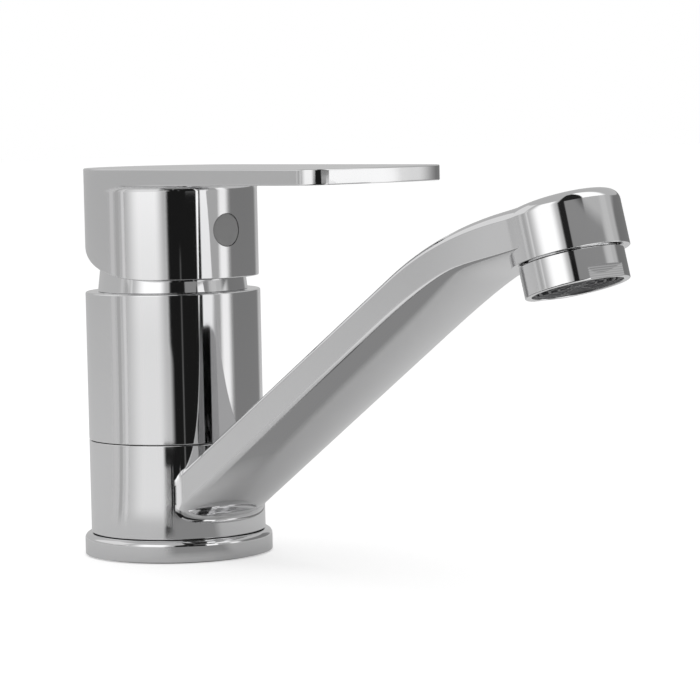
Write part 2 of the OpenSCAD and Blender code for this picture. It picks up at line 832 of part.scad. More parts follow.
module fixed_disc() {
    color("white")
        difference() {
            disc(fixed_disc_r, fixed_disc_z, fixed_disc_z + disc_h);
            at_inlets()
                disc(inlet_port_r, fixed_disc_z - over, fixed_disc_z + disc_h + over);
            translate([outlet_port_x, 0, 0])
                disc(outlet_port_r, fixed_disc_z - over, fixed_disc_z + disc_h + over);
        }
}

module swivel_spout() {
    color("silver")
        difference() {
            union() {
                turned()
                    polygon([
                        [ring_bore_r, ring_z0],
                        [body_r - edge_bevel / 2, ring_z0],
                        [body_r, ring_z0 + edge_bevel / 2],
                        [body_r, ring_z1 - edge_bevel / 2],
                        [body_r - edge_bevel / 2, ring_z1],
                        [ring_bore_r, ring_z1]]);
                loft(arm_rings, ring_size, [(ring_bore_r + body_r) / 2, 0, channel_z]);
                at_outlet()
                    turned() {
                        square([head_r, head_h - head_edge_r]);
                        square([head_r - head_edge_r, head_h]);
                        intersection() {
                            translate([head_r - head_edge_r, head_h - head_edge_r])
                                circle(head_edge_r);
                            square([head_r, head_h]);
                        }
                    }
            }
            disc(ring_bore_r, 0, body_h);
            translate([stem_r - over, 0, channel_z])
                rotate([0, 90, 0])
                    cylinder(h = root_x - stem_r + over, r = radial_port_r);
            loft(bore_rings, bore_size, centre(bore_rings[0]));
            at_outlet() {
                disc(aerator_thread_d / 2 + fit, -over, washer_seat_z);
                disc(washer_bore_r, 0, head_h - spout_wall);
            }
            arc_slot(stop_circle_r - stop_slot_r, stop_circle_r + stop_slot_r, stop_half,
                ring_z0 - over, stop_z1 + stop_end_play);
        }
}

module aerator_housing() {
    sleeve_top = -aerator_gap;
    sleeve_bottom = -aerator_gap - aerator_h;
    bevel = 0.4;
    color("silver")
        at_outlet()
            difference() {
                union() {
                    disc(aerator_thread_d / 2, sleeve_top - over, aerator_thread_h);
                    turned()
                        polygon([
                            [0, sleeve_bottom],
                            [aerator_d / 2 - bevel, sleeve_bottom],
                            [aerator_d / 2, sleeve_bottom + bevel],
                            [aerator_d / 2, sleeve_top - bevel],
                            [aerator_d / 2 - bevel, sleeve_top],
                            [0, sleeve_top]]);
                }
                disc(aerator_bore_d / 2, sleeve_bottom - over, aerator_thread_h + over);
                translate([0, 0, sleeve_bottom - fit])
                    cylinder(h = grid_inset, d1 = aerator_bore_d + 2 * bevel + grid_inset,
                        d2 = aerator_bore_d);
                for (side = [-1, 1])
                    rotate([0, 0, aerator_turn])
                        translate([side * (aerator_flats + aerator_d) / 2, 0, sleeve_bottom])
                            cube([aerator_d, aerator_d, 2 * aerator_flat_h], center = true);
            }
}

module aerator_washer() {
    color("dimgray")
        at_outlet()
            tube(washer_bore_r, aerator_thread_d / 2 - washer_play, aerator_thread_h + fit,
                washer_seat_z - washer_play / 2);
}

module aerator_insert() {
    holes = 12;
    hole_r = 0.9;
    hole_inset = 3.2;
    hole_ring_r = aerator_bore_d / 2 - hole_inset;
    step_inset = 1.4;
    step_z = 1.5;
    foot_z = -2.6;
    top_z = aerator_thread_h - washer_play;
    cup_inset = 2;
    cup_depth = 2.2;
    color("gainsboro")
        at_outlet()
            difference() {
                union() {
                    disc(aerator_bore_d / 2 - fit, step_z, top_z);
                    disc(aerator_bore_d / 2 - step_inset, foot_z, step_z + washer_play);
                }
                for (i = [0:holes - 1])
                    rotate([0, 0, i * 360 / holes])
                        translate([hole_ring_r, 0, 0])
                            disc(hole_r, foot_z - over, top_z + over);
                disc(hole_ring_r - cup_inset, top_z - cup_depth, top_z + over);
            }
}

module aerator_grid() {
    grid_z0 = -aerator_gap - aerator_h + grid_inset;
    grid_h = 2.4;
    rim_h = 4;
    rim = 0.9;
    wall = 0.5;
    rings = 4;
    spokes = 8;
    outer_r = aerator_bore_d / 2 - fit;
    pitch = (outer_r - rim) / (rings + 0.5);
    color("dimgray")
        at_outlet() {
            tube(outer_r - rim, outer_r, grid_z0, grid_z0 + rim_h);
            for (i = [1:rings])
                tube(i * pitch - wall / 2, i * pitch + wall / 2, grid_z0, grid_z0 + grid_h);
            disc(pitch / 2, grid_z0, grid_z0 + grid_h);
            for (i = [0:spokes - 1])
                rotate([0, 0, (i + 0.5) * 360 / spokes])
                    translate([pitch / 4, -wall / 2, grid_z0])
                        cube([outer_r - rim / 2 - pitch / 4, wall, grid_h]);
        }
}

module aerator_screen() {
    screen_play = 0.3;
    screen_r = washer_bore_r - screen_play;
    screen_z = aerator_thread_h - washer_play + fit;
    screen_h = 0.7;
    pitch = 1.9;
    rows = 3;
    hole_r = 0.55;
    color("gainsboro")
        at_outlet()
            difference() {
                disc(screen_r, screen_z, screen_z + screen_h);
                for (ring = [1:rows])
                    for (i = [0:6 * ring - 1])
                        rotate([0, 0, i * 60 / ring])
                            translate([ring * pitch, 0, 0])
                                disc(hole_r, screen_z - over, screen_z + over);
            }
}

module spindle_carrier() {
    left = cheek_half / cos(lift) + slot_play;
    top_rise = carrier_top_z + over - pivot_z;
    bottom_fall = pivot_z - carrier_z0 + over;
    color("gainsboro")
        difference() {
            union() {
                disc(carrier_flange_r, carrier_z0, carrier_z0 + carrier_flange_h);
                disc(carrier_r, carrier_z0, carrier_top_z);
                intersection() {
                    disc(carrier_flange_r, carrier_z0 - rail_h, carrier_z0 + over);
                    for (side = [-1, 1])
                        translate([0, side * (rail_y + rail_w / 2), carrier_z0])
                            cube([4 * rail_y, rail_w, 3 * rail_h], center = true);
                }
                intersection() {
                    disc(lug_r, carrier_top_z - lug_h, carrier_top_z);
                    translate([-lug_r, 0, carrier_top_z])
                        cube([lug_r, lug_w, 4 * lug_h], center = true);
                }
            }
            translate([0, slot_w / 2, 0])
                rotate([90, 0, 0])
                    linear_extrude(slot_w)
                        polygon([
                            [-left, pivot_z],
                            [-left - top_rise * tan(lift), pivot_z + top_rise],
                            [cheek_half + slot_play, pivot_z + top_rise],
                            [cheek_half + slot_play, pivot_z],
                            [cheek_half + bottom_fall * tan(lift), pivot_z - bottom_fall],
                            [-left, pivot_z - bottom_fall]]);
            translate([0, 0, pivot_z])
                rotate([90, 0, 0])
                    cylinder(h = pin_len, r = pin_r + fit, center = true);
        }
}

module hinge_pin() {
    color("lightsteelblue")
        translate([0, 0, pivot_z])
            rotate([90, 0, 0])
                cylinder(h = pin_len - 2 * pin_end_play, r = pin_r, center = true);
}

module moving_disc() {
    pocket_h = 1.6;
    wing_r = 2.2;
    wing_x = -3.4;
    wing_y = 6;
    back_r = 3.4;
    back_x = -6.2;
    corner_y = wing_y + wing_r * 0.8;
    corner_x = wing_x + wing_r * 0.9;
    key_inset = 3;
    key_slot = [3, 2, 1.6];
    color("white")
        difference() {
            translate([disc_rest_x, 0, 0])
                disc(moving_disc_r, moving_disc_z, driver_z0 - fit);
            translate([0, 0, moving_disc_z - over])
                linear_extrude(pocket_h + over) {
                    for (side = [-1, 1])
                        translate([wing_x, side * wing_y])
                            circle(wing_r);
                    translate([back_x, 0])
                        circle(back_r);
                    polygon([
                        [back_x, -back_r],
                        [wing_x, -corner_y],
                        [corner_x, -wing_y],
                        [corner_x, wing_y],
                        [wing_x, corner_y],
                        [back_x, back_r]]);
                }
            for (side = [-1, 1])
                translate([disc_rest_x, side * (moving_disc_r - key_inset), driver_z0])
                    cube(key_slot, center = true);
        }
}

module disc_driver() {
    driver_r = moving_disc_r - driver_inset;
    color("gainsboro")
        difference() {
            intersection() {
                translate([disc_rest_x, 0, 0])
                    disc(driver_r, driver_z0, driver_z1);
                translate([disc_rest_x, 0, driver_z0])
                    cube([4 * driver_r, 2 * (rail_y - rail_play), 4 * driver_h], center = true);
            }
            translate([0, 0, driver_z0])
                cube([2 * socket_half, cheek_w + over, 4 * driver_h], center = true);
        }
}

// The lever's plan, tapering into nothing but its own outline.
module lever_plan() {
    circle(cap_r);
    translate([0, -cap_r])
        square([corner_x, cap_d]);
    for (side = [-1, 1])
        translate([corner_x, side * corner_y])
            circle(lever_corner_r);
    intersection() {
        translate([tip_arc_x, 0])
            circle(lever_tip_r, $fn = 360);
        polygon([
            [tip_arc_x, 0],
            [tip_arc_x + 2 * (corner_x - tip_arc_x), -2 * corner_y],
            [tip_arc_x + 2 * (corner_x - tip_arc_x), 2 * corner_y]]);
    }
}

// The part of the XZ plane above the cap's arched lower edge.
module cap_side_view() {
    translate([cap_cut_x, cap_front_z + cap_cut_r])
        circle(cap_cut_r, $fn = 360);
    translate([cap_cut_x, cap_front_z])
        square([lever_reach, 2 * cap_r]);
}

module handle() {
    color("silver")
        difference() {
            union() {
                intersection() {
                    difference() {
                        disc(cap_r, cap_front_z - over, handle_top_z - over / 2);
                        disc(cap_inner_r, cap_front_z - 2 * over, cap_ceiling_z);
                    }
                    translate([0, cap_d, 0])
                        rotate([90, 0, 0])
                            linear_extrude(2 * cap_d)
                                cap_side_view();
                }
                difference() {
                    translate([0, 0, lever_under_z])
                        linear_extrude(lever_root_h)
                            lever_plan();
                    disc(cap_inner_r, lever_under_z - over, cap_ceiling_z);
                    translate([0, cap_d, 0])
                        rotate([90, 0, 0])
                            linear_extrude(2 * cap_d)
                                polygon([
                                    [cap_r, lever_under_z - over],
                                    [cap_r, lever_under_z],
                                    [lever_reach, handle_top_z - lever_tip_h],
                                    [lever_reach + over, handle_top_z - lever_tip_h],
                                    [lever_reach + over, lever_under_z - over]]);
                }
                intersection() {
                    turned()
                        difference() {
                            translate([cap_r - over, lever_under_z - lever_fillet_r])
                                square([lever_fillet_r + over, lever_fillet_r + over / 2]);
                            translate([cap_r + lever_fillet_r, lever_under_z - lever_fillet_r])
                                circle(lever_fillet_r);
                        }
                    translate([0, 0, lever_under_z - cap_r])
                        linear_extrude(cap_r + over / 2)
                            difference() {
                                lever_plan();
                                circle(cap_r - over);
                            }
                }
                disc(boss_r, boss_z, cap_ceiling_z + over / 2);
                translate([0, -lug_bar_half, lug_bar_z])
                    cube([lug_bar_x, 2 * lug_bar_half, cap_ceiling_z + over / 2 - lug_bar_z]);
            }
            translate([-socket_w / 2, -socket_w / 2, lug_bar_z - over])
                cube([socket_w, socket_w, spindle_top_z + square_end_play - lug_bar_z + over]);
            translate([0, 0, plug_z])
                rotate([0, 90, 0]) {
                    cylinder(h = cap_r, r = grub_r + fit);
                    translate([0, 0, cap_r - plug_depth - plug_play])
                        cylinder(h = plug_depth + 2 * over, r = plug_r + plug_play);
                }
        }
}

module spindle() {
    color("goldenrod")
        difference() {
            union() {
                translate([0, 0, pivot_z])
                    rotate([90, 0, 0])
                        cylinder(h = cheek_w, r = cheek_half, center = true);
                translate([-cheek_half, -cheek_w / 2, pivot_z])
                    cube([2 * cheek_half, cheek_w, square_z0 + over - pivot_z]);
                translate([-square_w / 2, -square_w / 2, square_z0])
                    cube([square_w, square_w, spindle_top_z - square_z0]);
                translate([0, cheek_w / 2, 0])
                    rotate([90, 0, 0])
                        linear_extrude(cheek_w)
                            polygon([
                                [fit - cheek_half, pivot_z - over],
                                [-ball_neck_r, neck_top_z],
                                [ball_neck_r, neck_top_z],
                                [cheek_half - fit, pivot_z - over]]);
                translate([0, 0, ball_z])
                    cylinder(h = neck_top_z + over - ball_z, r = ball_neck_r);
                translate([0, 0, ball_z])
                    sphere(d = ball_d);
            }
            translate([0, 0, pivot_z])
                rotate([90, 0, 0])
                    cylinder(h = 2 * cheek_w, r = pin_run, center = true);
        }
}

module grub_screw() {
    color("lightsteelblue")
        translate([socket_w / 2 + fit, 0, plug_z])
            rotate([0, 90, 0])
                difference() {
                    cylinder(h = grub_len, r = grub_r);
                    translate([0, 0, grub_len - grub_socket_depth])
                        cylinder(h = grub_socket_depth + over, r = grub_socket_r, $fn = 6);
                }
}

module index_plug() {
    color("gray")
        intersection() {
            translate([cap_r - plug_depth, 0, plug_z])
                rotate([0, 90, 0])
                    cylinder(h = plug_depth + over, r = plug_r);
            disc(cap_r - fit, cap_front_z, handle_top_z);
        }
}

body_casting();
base_ring();
base_gasket();
base_screws();
swivel_stop_pin();
lower_glide_ring();
upper_glide_ring();
lower_seal();
upper_seal();
clamp_nut();
cover_seal();
cartridge_cover();
cartridge_housing();
cartridge_base();
port_seals();
fixed_disc();
swivel_spout();
aerator_housing();
aerator_washer();
aerator_insert();
aerator_grid();
aerator_screen();
spindle_carrier();
hinge_pin();
moving_disc();
disc_driver();
handle();
spindle();
grub_screw();
index_plug();
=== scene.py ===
import json
import math

import bpy
import numpy as np
from bpy.props import FloatProperty, FloatVectorProperty, IntProperty, PointerProperty
from mathutils import Matrix, Vector
from mathutils.bvhtree import BVHTree


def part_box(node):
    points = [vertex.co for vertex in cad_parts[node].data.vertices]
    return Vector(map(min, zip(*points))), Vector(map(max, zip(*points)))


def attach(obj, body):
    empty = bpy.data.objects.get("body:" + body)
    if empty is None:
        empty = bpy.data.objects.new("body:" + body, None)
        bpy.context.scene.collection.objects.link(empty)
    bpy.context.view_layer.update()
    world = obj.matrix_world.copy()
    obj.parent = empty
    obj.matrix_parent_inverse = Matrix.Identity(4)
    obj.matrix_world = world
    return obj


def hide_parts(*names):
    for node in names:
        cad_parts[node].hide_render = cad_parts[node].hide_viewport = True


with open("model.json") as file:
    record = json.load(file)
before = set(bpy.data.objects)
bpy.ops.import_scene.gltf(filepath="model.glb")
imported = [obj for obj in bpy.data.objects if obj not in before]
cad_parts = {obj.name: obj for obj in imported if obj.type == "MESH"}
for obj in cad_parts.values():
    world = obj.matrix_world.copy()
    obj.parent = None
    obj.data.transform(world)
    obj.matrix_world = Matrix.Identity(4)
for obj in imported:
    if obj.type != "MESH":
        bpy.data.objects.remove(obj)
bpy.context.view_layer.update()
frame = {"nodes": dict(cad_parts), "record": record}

bl_info = {
    "name": "Basin Mixer Tap",
    "version": (1, 0, 0),
    "blender": (4, 5, 0),
    "location": "View3D > Sidebar > Mixer Tap",
    "description": "Builds the surfaces, finishes and studio of a basin mixer tap on its packed frame",
    "category": "Object",
}

MM = 0.001
LEAST_EDGE = 0.1 * MM

# Lengths are in millimetres and angles in radians, unless a name or a comment says otherwise.
# Fits, bores and heights are the solids' own. The arm's line and the head are finer than theirs.
BODY_R = 25.0
STEM_R = 18.0
STEM_FOOT_Z = 4.7
RING_Z0 = 6.6
RING_Z1 = 33.1
BARREL_Z0 = 33.3
BODY_H = 75.5
PIVOT_Z = 70.0
GLIDE_SEAT_R = 20.6
RING_BORE_R = 18.05
INLET = (4.0, 7.8)
STUD_X = -10.8
PORT_X = -3.5
SCREW_R = 13.6
SCREWS = 3
SCREW_HEAD_R = 3.1
SCREW_HOLE_R = 1.6
SCREW_THREAD_R = 1.52
SCREW_DEPTH_Z = 9.5
STOP_PIN_X = -22.55
STOP_PIN_R = 1.27
STUD_HOLE_R = 4.2
STUD_THREAD_R = 3.4
STUD_DEPTH_Z = 14.2
INLET_HOLE_R = 6.7
INLET_THREAD_R = 4.5
INLET_DEPTH_Z = 15.2
WATERWAY_R = 2.7
PORT_R = 2.8
FLANGE_FLOOR_Z = 2.3
FLANGE_RECESS_R = 21.0
GASKET_R = 25.02
GASKET_Z = 1.2
STEM_SOCKET_R = 18.1
GLIDE_FLOOR_Z = 5.57
CHANNEL_Z = 20.0
CHANNEL_R = 3.5
CHAMBER_R = 17.6
CHAMBER_Z = 44.0
NUT_BORE_R = 19.42
NUT_FLOOR_Z = 64.5
GLIDE_TOP_Z = 34.15
# Radius and both edges of the stem's grooves: seal, ring of water, seal.
STEM_GROOVES = [(15.9, 10.35, 12.85), (15.6, 16, 24), (15.9, 27.15, 29.65)]
COLLAR_WALL = 1.3
COLLAR_FOOT_Z = 75.52
COLLAR_FOOT_R = 21.4
DOME_FOOT = (20.7, 81.4)
DOME_INNER_R = 19.55
MOUTH_R = 15.5

CAP_R = 24.7
CAP_INNER_R = 22.5
CAP_FRONT_Z = 79.3
CAP_CUT_R = 60.0
CAP_CUT_X = 16.0
HANDLE_TOP_Z = 110.6
LEVER_ROOT_H = 4.7
LEVER_TIP_H = 4.2
LEVER_REACH = 91.7
LEVER_TIP_R = 84.0
LEVER_CORNER_R = 7.5
LEVER_FILLET_R = 1.8
LEVER_UNDER_Z = HANDLE_TOP_Z - LEVER_ROOT_H
PLUG_Z = 92.9
PLUG_R = 4.6
BOSS_R = 6.4
BOSS_FOOT_Z = 90.5
LUG = (13.4, 4.0)
LUG_FOOT_Z = 88.9
SQUARE_HALF = 4.05
SQUARE_Z = (87.9, 102.3)
GRUB_R = 2.52
PLUG_HOLE = (4.7, 20.6)
PLUG_SUNK = 0.05
PLUG_EDGE_R = 0.3
PLUG_BACK_X = 20.75

HEAD_X = 157.4
HEAD_Z = 88.2
HEAD_TILT = math.radians(15.7)
HEAD_R = 15.1
HEAD_TOP = 13.9
ARM_RISE = math.radians(33.4)
SOCKET_R = 11.72
SOCKET_TOP = 8.3
SLOT_R = (21.1, 24.0)
SLOT_TOP_Z = 9.8
SLOT_HALF_TURN = 78.7
SLEEVE_R = 13.4
SLEEVE_THREAD_R = 11.7
SLEEVE_BORE_R = 10.6
SLEEVE_STEP = -3.2
THREAD_TOP = 6.4
SLEEVE_TOP = -0.35
SLEEVE_BOTTOM = -8.2
SLEEVE_TURN = math.radians(-8)
FLAT_X = 12.2
FLAT_RISE = 3.3
RIDGE_H = 0.13
GRID_Z = -7.6


class Skin:
    """Points, faces and the outward direction at each corner of each face, in millimetres."""

    def __init__(self):
        self.points = []
        self.faces = []
        self.normals = []

    def ring(self, points):
        start = len(self.points)
        self.points.extend([tuple(p) for p in points])
        return list(range(start, start + len(points)))

    def face(self, corners, normals):
        self.faces.append(tuple(corners))
        self.normals.append([tuple(n) for n in normals])

    def strip(self, low, high, low_normals, high_normals):
        """Quads between two closed rings, or triangles where one ring is a single point."""
        n = max(len(low), len(high))
        for i in range(n):
            j = (i + 1) % n
            spots = [(low[i % len(low)], low_normals[i])]
            if len(low) > 1:
                spots.append((low[j], low_normals[j]))
            if len(high) > 1:
                spots.append((high[j], high_normals[j]))
            spots.append((high[i % len(high)], high_normals[i]))
            self.face(*zip(*spots))

    def stack(self, rows, flip=False):
        """Strips through rows of (points, outward directions). Gives back each row's corners."""
        rings = [self.ring(points) for points, _ in rows]
        for k in range(len(rows) - 1):
            low, high = (k + 1, k) if flip else (k, k + 1)
            self.strip(rings[low], rings[high], rows[low][1], rows[high][1])
        return rings

    def moved(self, matrix):
        turn = np.array(matrix.to_3x3())
        shift = np.array(matrix.translation)
        out = Skin()
        out.points = [tuple(p) for p in np.array(self.points) @ turn.T + shift]
        out.faces = list(self.faces)
        out.normals = [[tuple(v) for v in np.array(f) @ turn.T] for f in self.normals]
        return out

    def joined(self, *others):
        out = Skin()
        for skin in (self,) + others:
            start = len(out.points)
            out.points.extend(skin.points)
            out.faces.extend(tuple(start + i for i in f) for f in skin.faces)
            out.normals.extend(skin.normals)
        return out


def unit(v):
    v = np.asarray(v, float)
    length = np.linalg.norm(v, axis=-1, keepdims=True)
    return v / np.where(length < 1e-12, 1, length)


def arc(centre, radius, start, end, steps, hollow=False):
    """Points of an arc in the profile plane, angles in degrees, with their outward direction."""
    out = []
    for k in range(steps + 1):
        a = math.radians(start + (end - start) * k / steps)
        out_dir = (math.cos(a), math.sin(a))
        normal = (-out_dir[0], -out_dir[1]) if hollow else out_dir
        out.append((centre[0] + radius * out_dir[0], centre[1] + radius * out_dir[1], normal))
    return out


def outline(items, steps=6):
    """Turns corners (r, z) or (r, z, radius) and arcs, counterclockwise, into profile points.
    Each point is (r, z, outward direction before it, outward direction after it)."""
    spots = []
    for item in items:
        spots.extend(item) if isinstance(item, list) else spots.append(item)
    count = len(spots)
    smooth = [len(s) == 3 and isinstance(s[2], tuple) for s in spots]

    def normal(a, b):
        d = np.array([b[0] - a[0], b[1] - a[1]])
        d = d / np.linalg.norm(d)
        return (d[1], -d[0])

    out = []
    for k, spot in enumerate(spots):
        before, after = spots[k - 1], spots[(k + 1) % count]
        n0, n1 = normal(before, spot), normal(spot, after)
        if smooth[k]:
            own = spot[2]
            before_it = own if smooth[k - 1] else n0
            after_it = own if smooth[(k + 1) % count] else n1
            out.append((spot[0], spot[1], before_it, after_it))
            continue
        radius = spot[2] if len(spot) == 3 else 0
        if radius == 0:
            out.append((spot[0], spot[1], n0, n1))
            continue
        turn = math.atan2(n0[0] * n1[1] - n0[1] * n1[0], n0[0] * n1[0] + n0[1] * n1[1])
        side = 1 if turn > 0 else -1
        reach = radius * math.tan(abs(turn) / 2)
        start = (spot[0] + n0[1] * reach, spot[1] - n0[0] * reach)
        centre = (start[0] - side * n0[0] * radius, start[1] - side * n0[1] * radius)
        for i in range(steps + 1):
            a = turn * i / steps
            c, s = math.cos(a), math.sin(a)
            n = (n0[0] * c - n0[1] * s, n0[0] * s + n0[1] * c)
            out.append((centre[0] + side * n[0] * radius, centre[1] + side * n[1] * radius, n, n))
    return out


def lathe(items, count=256, steps=6):
    """A closed skin turned about Z from a closed counterclockwise profile."""
    profile = outline(items, steps)
    angles = np.arange(count) * 2 * math.pi / count
    around = np.stack([np.cos(angles), np.sin(angles)], 1)
    skin = Skin()
    rings = []
    for r, z, _, _ in profile:
        if abs(r) < 1e-9:
            rings.append(skin.ring([(0, 0, z)]))
        else:
            rings.append(skin.ring(np.column_stack([around * r, np.full(count, z)])))

    def spread(n):
        return np.column_stack([around * n[0], np.full(count, n[1])])

    for k in range(len(profile)):
        j = (k + 1) % len(profile)
        if len(rings[k]) == 1 and len(rings[j]) == 1:
            continue
        skin.strip(rings[k], rings[j], spread(profile[k][3]), spread(profile[j][2]))
    return skin


def prism(points, z0, z1, normals=None):
    """A closed skin over a convex plan. Its sides are flat, unless they are given directions."""
    n = len(points)
    plan = np.array(points, float)
    skin = Skin()
    low = skin.ring(np.column_stack([plan, np.full(n, z0)]))
    high = skin.ring(np.column_stack([plan, np.full(n, z1)]))
    for i in range(n):
        j = (i + 1) % n
        if normals is None:
            d = unit(plan[j] - plan[i])
            a = b = (d[1], -d[0], 0)
        else:
            a, b = (*normals[i], 0), (*normals[j], 0)
        skin.face((low[i], low[j], high[j], high[i]), (a, b, b, a))
    skin.face(low[::-1], [(0, 0, -1)] * n)
    skin.face(high, [(0, 0, 1)] * n)
    return skin


def cylinder(r, z0, z1, count=96):
    return lathe([(0, z0), (r, z0), (r, z1), (0, z1)], count)


def new_object(name, data):
    obj = bpy.data.objects.new(name, data)
    bpy.context.scene.collection.objects.link(obj)
    return obj


def solid(name, skin):
    """A new object from a skin."""
    mesh = bpy.data.meshes.new(name)
    mesh.from_pydata([tuple(c * MM for c in p) for p in skin.points], [], skin.faces)
    return new_object(name, mesh)


def plain_mesh(obj):
    """Applies the object's modifiers and gives back its plain mesh."""
    depsgraph = bpy.context.evaluated_depsgraph_get()
    result = bpy.data.meshes.new_from_object(obj.evaluated_get(depsgraph))
    obj.modifiers.clear()
    old = obj.data
    obj.data = result
    if old.users == 0:
        bpy.data.meshes.remove(old)
    return result


def carve(obj, tool, operation="DIFFERENCE"):
    """Joins a skin or an object to the piece, cuts it away or keeps what is inside it."""
    if isinstance(tool, Skin):
        tool = solid("tool", tool)
    modifier = obj.modifiers.new("carve", "BOOLEAN")
    modifier.object = tool
    modifier.operation = operation
    modifier.solver = "MANIFOLD"
    before = len(obj.data.polygons)
    mesh = plain_mesh(obj)
    old = tool.data
    bpy.data.objects.remove(tool)
    bpy.data.meshes.remove(old)
    if len(mesh.polygons) < before // 20:
        raise RuntimeError(f"{obj.name}: a {operation.lower()} left next to nothing")


# How far each corner is drawn towards its face's middle before its nearest skin is looked for,
# and how far a direction may lean from its face before the face's own is taken.
INWARD_SHARE = 0.03
LEAST_COSINE = 0.6


def polished(obj, skins):
    """Gives the carved object the exact surface directions of the skins that it came from."""
    corners, directions = [], []
    for skin in skins:
        points = np.array(skin.points)
        for face, normals in zip(skin.faces, skin.normals):
            for k in range(1, len(face) - 1):
                corners.append((points[face[0]], points[face[k]], points[face[k + 1]]))
                directions.append((normals[0], normals[k], normals[k + 1]))
    corners = np.array(corners)
    directions = np.array(directions)
    edges = corners[:, 1] - corners[:, 0], corners[:, 2] - corners[:, 0]
    areas = np.cross(edges[0], edges[1])
    keep = np.linalg.norm(areas, axis=1) > 1e-9
    corners, directions, areas = corners[keep], directions[keep], areas[keep]
    facing = unit(areas)
    tree = BVHTree.FromPolygons(
        corners.reshape(-1, 3).tolist(),
        [(3 * i, 3 * i + 1, 3 * i + 2) for i in range(len(corners))],
        all_triangles=True,
    )
    mesh = obj.data
    places = np.empty(len(mesh.vertices) * 3)
    mesh.vertices.foreach_get("co", places)
    places = places.reshape(-1, 3) / MM
    picked = np.zeros((len(mesh.loops), 3))
    for polygon in mesh.polygons:
        spots = places[list(polygon.vertices)]
        middle = spots.mean(0)
        flat = np.array(polygon.normal)
        for loop, spot in zip(polygon.loop_indices, spots):
            found = tree.find_nearest(Vector(spot + INWARD_SHARE * (middle - spot)))[2]
            a, b, c = corners[found]
            u, v, w = b - a, c - a, spot - a
            uu, uv, vv, wu, wv = u @ u, u @ v, v @ v, w @ u, w @ v
            span = uu * vv - uv * uv
            s = min(1, max(0, (vv * wu - uv * wv) / span))
            t = min(1 - s, max(0, (uu * wv - uv * wu) / span))
            first, second, third = directions[found]
            n = first * (1 - s - t) + second * s + third * t
            if facing[found] @ flat < 0:
                n = -n
            picked[loop] = n if n @ flat > LEAST_COSINE * np.linalg.norm(n) else flat
    mesh.polygons.foreach_set("use_smooth", [True] * len(mesh.polygons))
    mesh.normals_split_custom_set(unit(picked).tolist())
    mesh.update()


def finished(obj, body, slot, *nodes):
    """Dresses a piece, sets it on its body and lets it stand for its solids."""
    obj.data.materials.clear()
    obj.data.materials.append(finish_of(slot))
    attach(obj, body)
    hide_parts(*nodes)


def made(name, skin, joins, cuts, *dress):
    """A finished piece: a skin, and others that are joined to it and cut from it."""
    obj = solid(name, skin)
    for tool in joins:
        carve(obj, tool, "UNION")
    for tool in cuts:
        carve(obj, tool)
    polished(obj, [skin, *joins, *cuts])
    finished(obj, *dress)


def at(x=0.0, y=0.0, z=0.0):
    return Matrix.Translation((x, y, z))


def turned(degrees, axis):
    return Matrix.Rotation(math.radians(degrees), 4, axis)


def outlet_frame():
    """The outlet's own frame: its origin in the head's rim and its Z up along the outlet's axis."""
    return at(HEAD_X, 0, HEAD_Z) @ Matrix.Rotation(-HEAD_TILT, 4, "Y")


# The spout's arm: its root's width and height, and its belly's line by slope and height at the axis.
ARM_AXIS_Z = 12.6
ARM_BEND_R = 120.0
ARM_ROOT = (30.4, 14.8)
ARM_END_W = 29.6
ARM_EDGE_R = 1.5
HEAD_EDGE_R = 2.7
ARM_FILLET_R = 1.2
SPOUT_WALL = 2.6
HEAD_BLEND_R = 34.0
BELLY_SHARE = 0.45
BELLY_SHARE_END = 0.15
BELLY_IN_HEAD = 2.2
BELLY_LINE = (0.6725, -4.7)
BELLY_EASE = 1.6
BELLY_LEAD = 10
ARM_SINK = 0.02
ARM_END_LOCAL = 1.78
SIDE_SINK = 0.04
ROOT_X = BODY_R + 5
LEAN_LEAD = 6.0
FILLET_STEPS = 15
LEAD_GAPS = [2.4, 3.2, 4.2]
BORE_EDGE_R = 1.0


def ease(t):
    u = np.clip(t, 0, 1)
    return u * u * (3 - 2 * u)


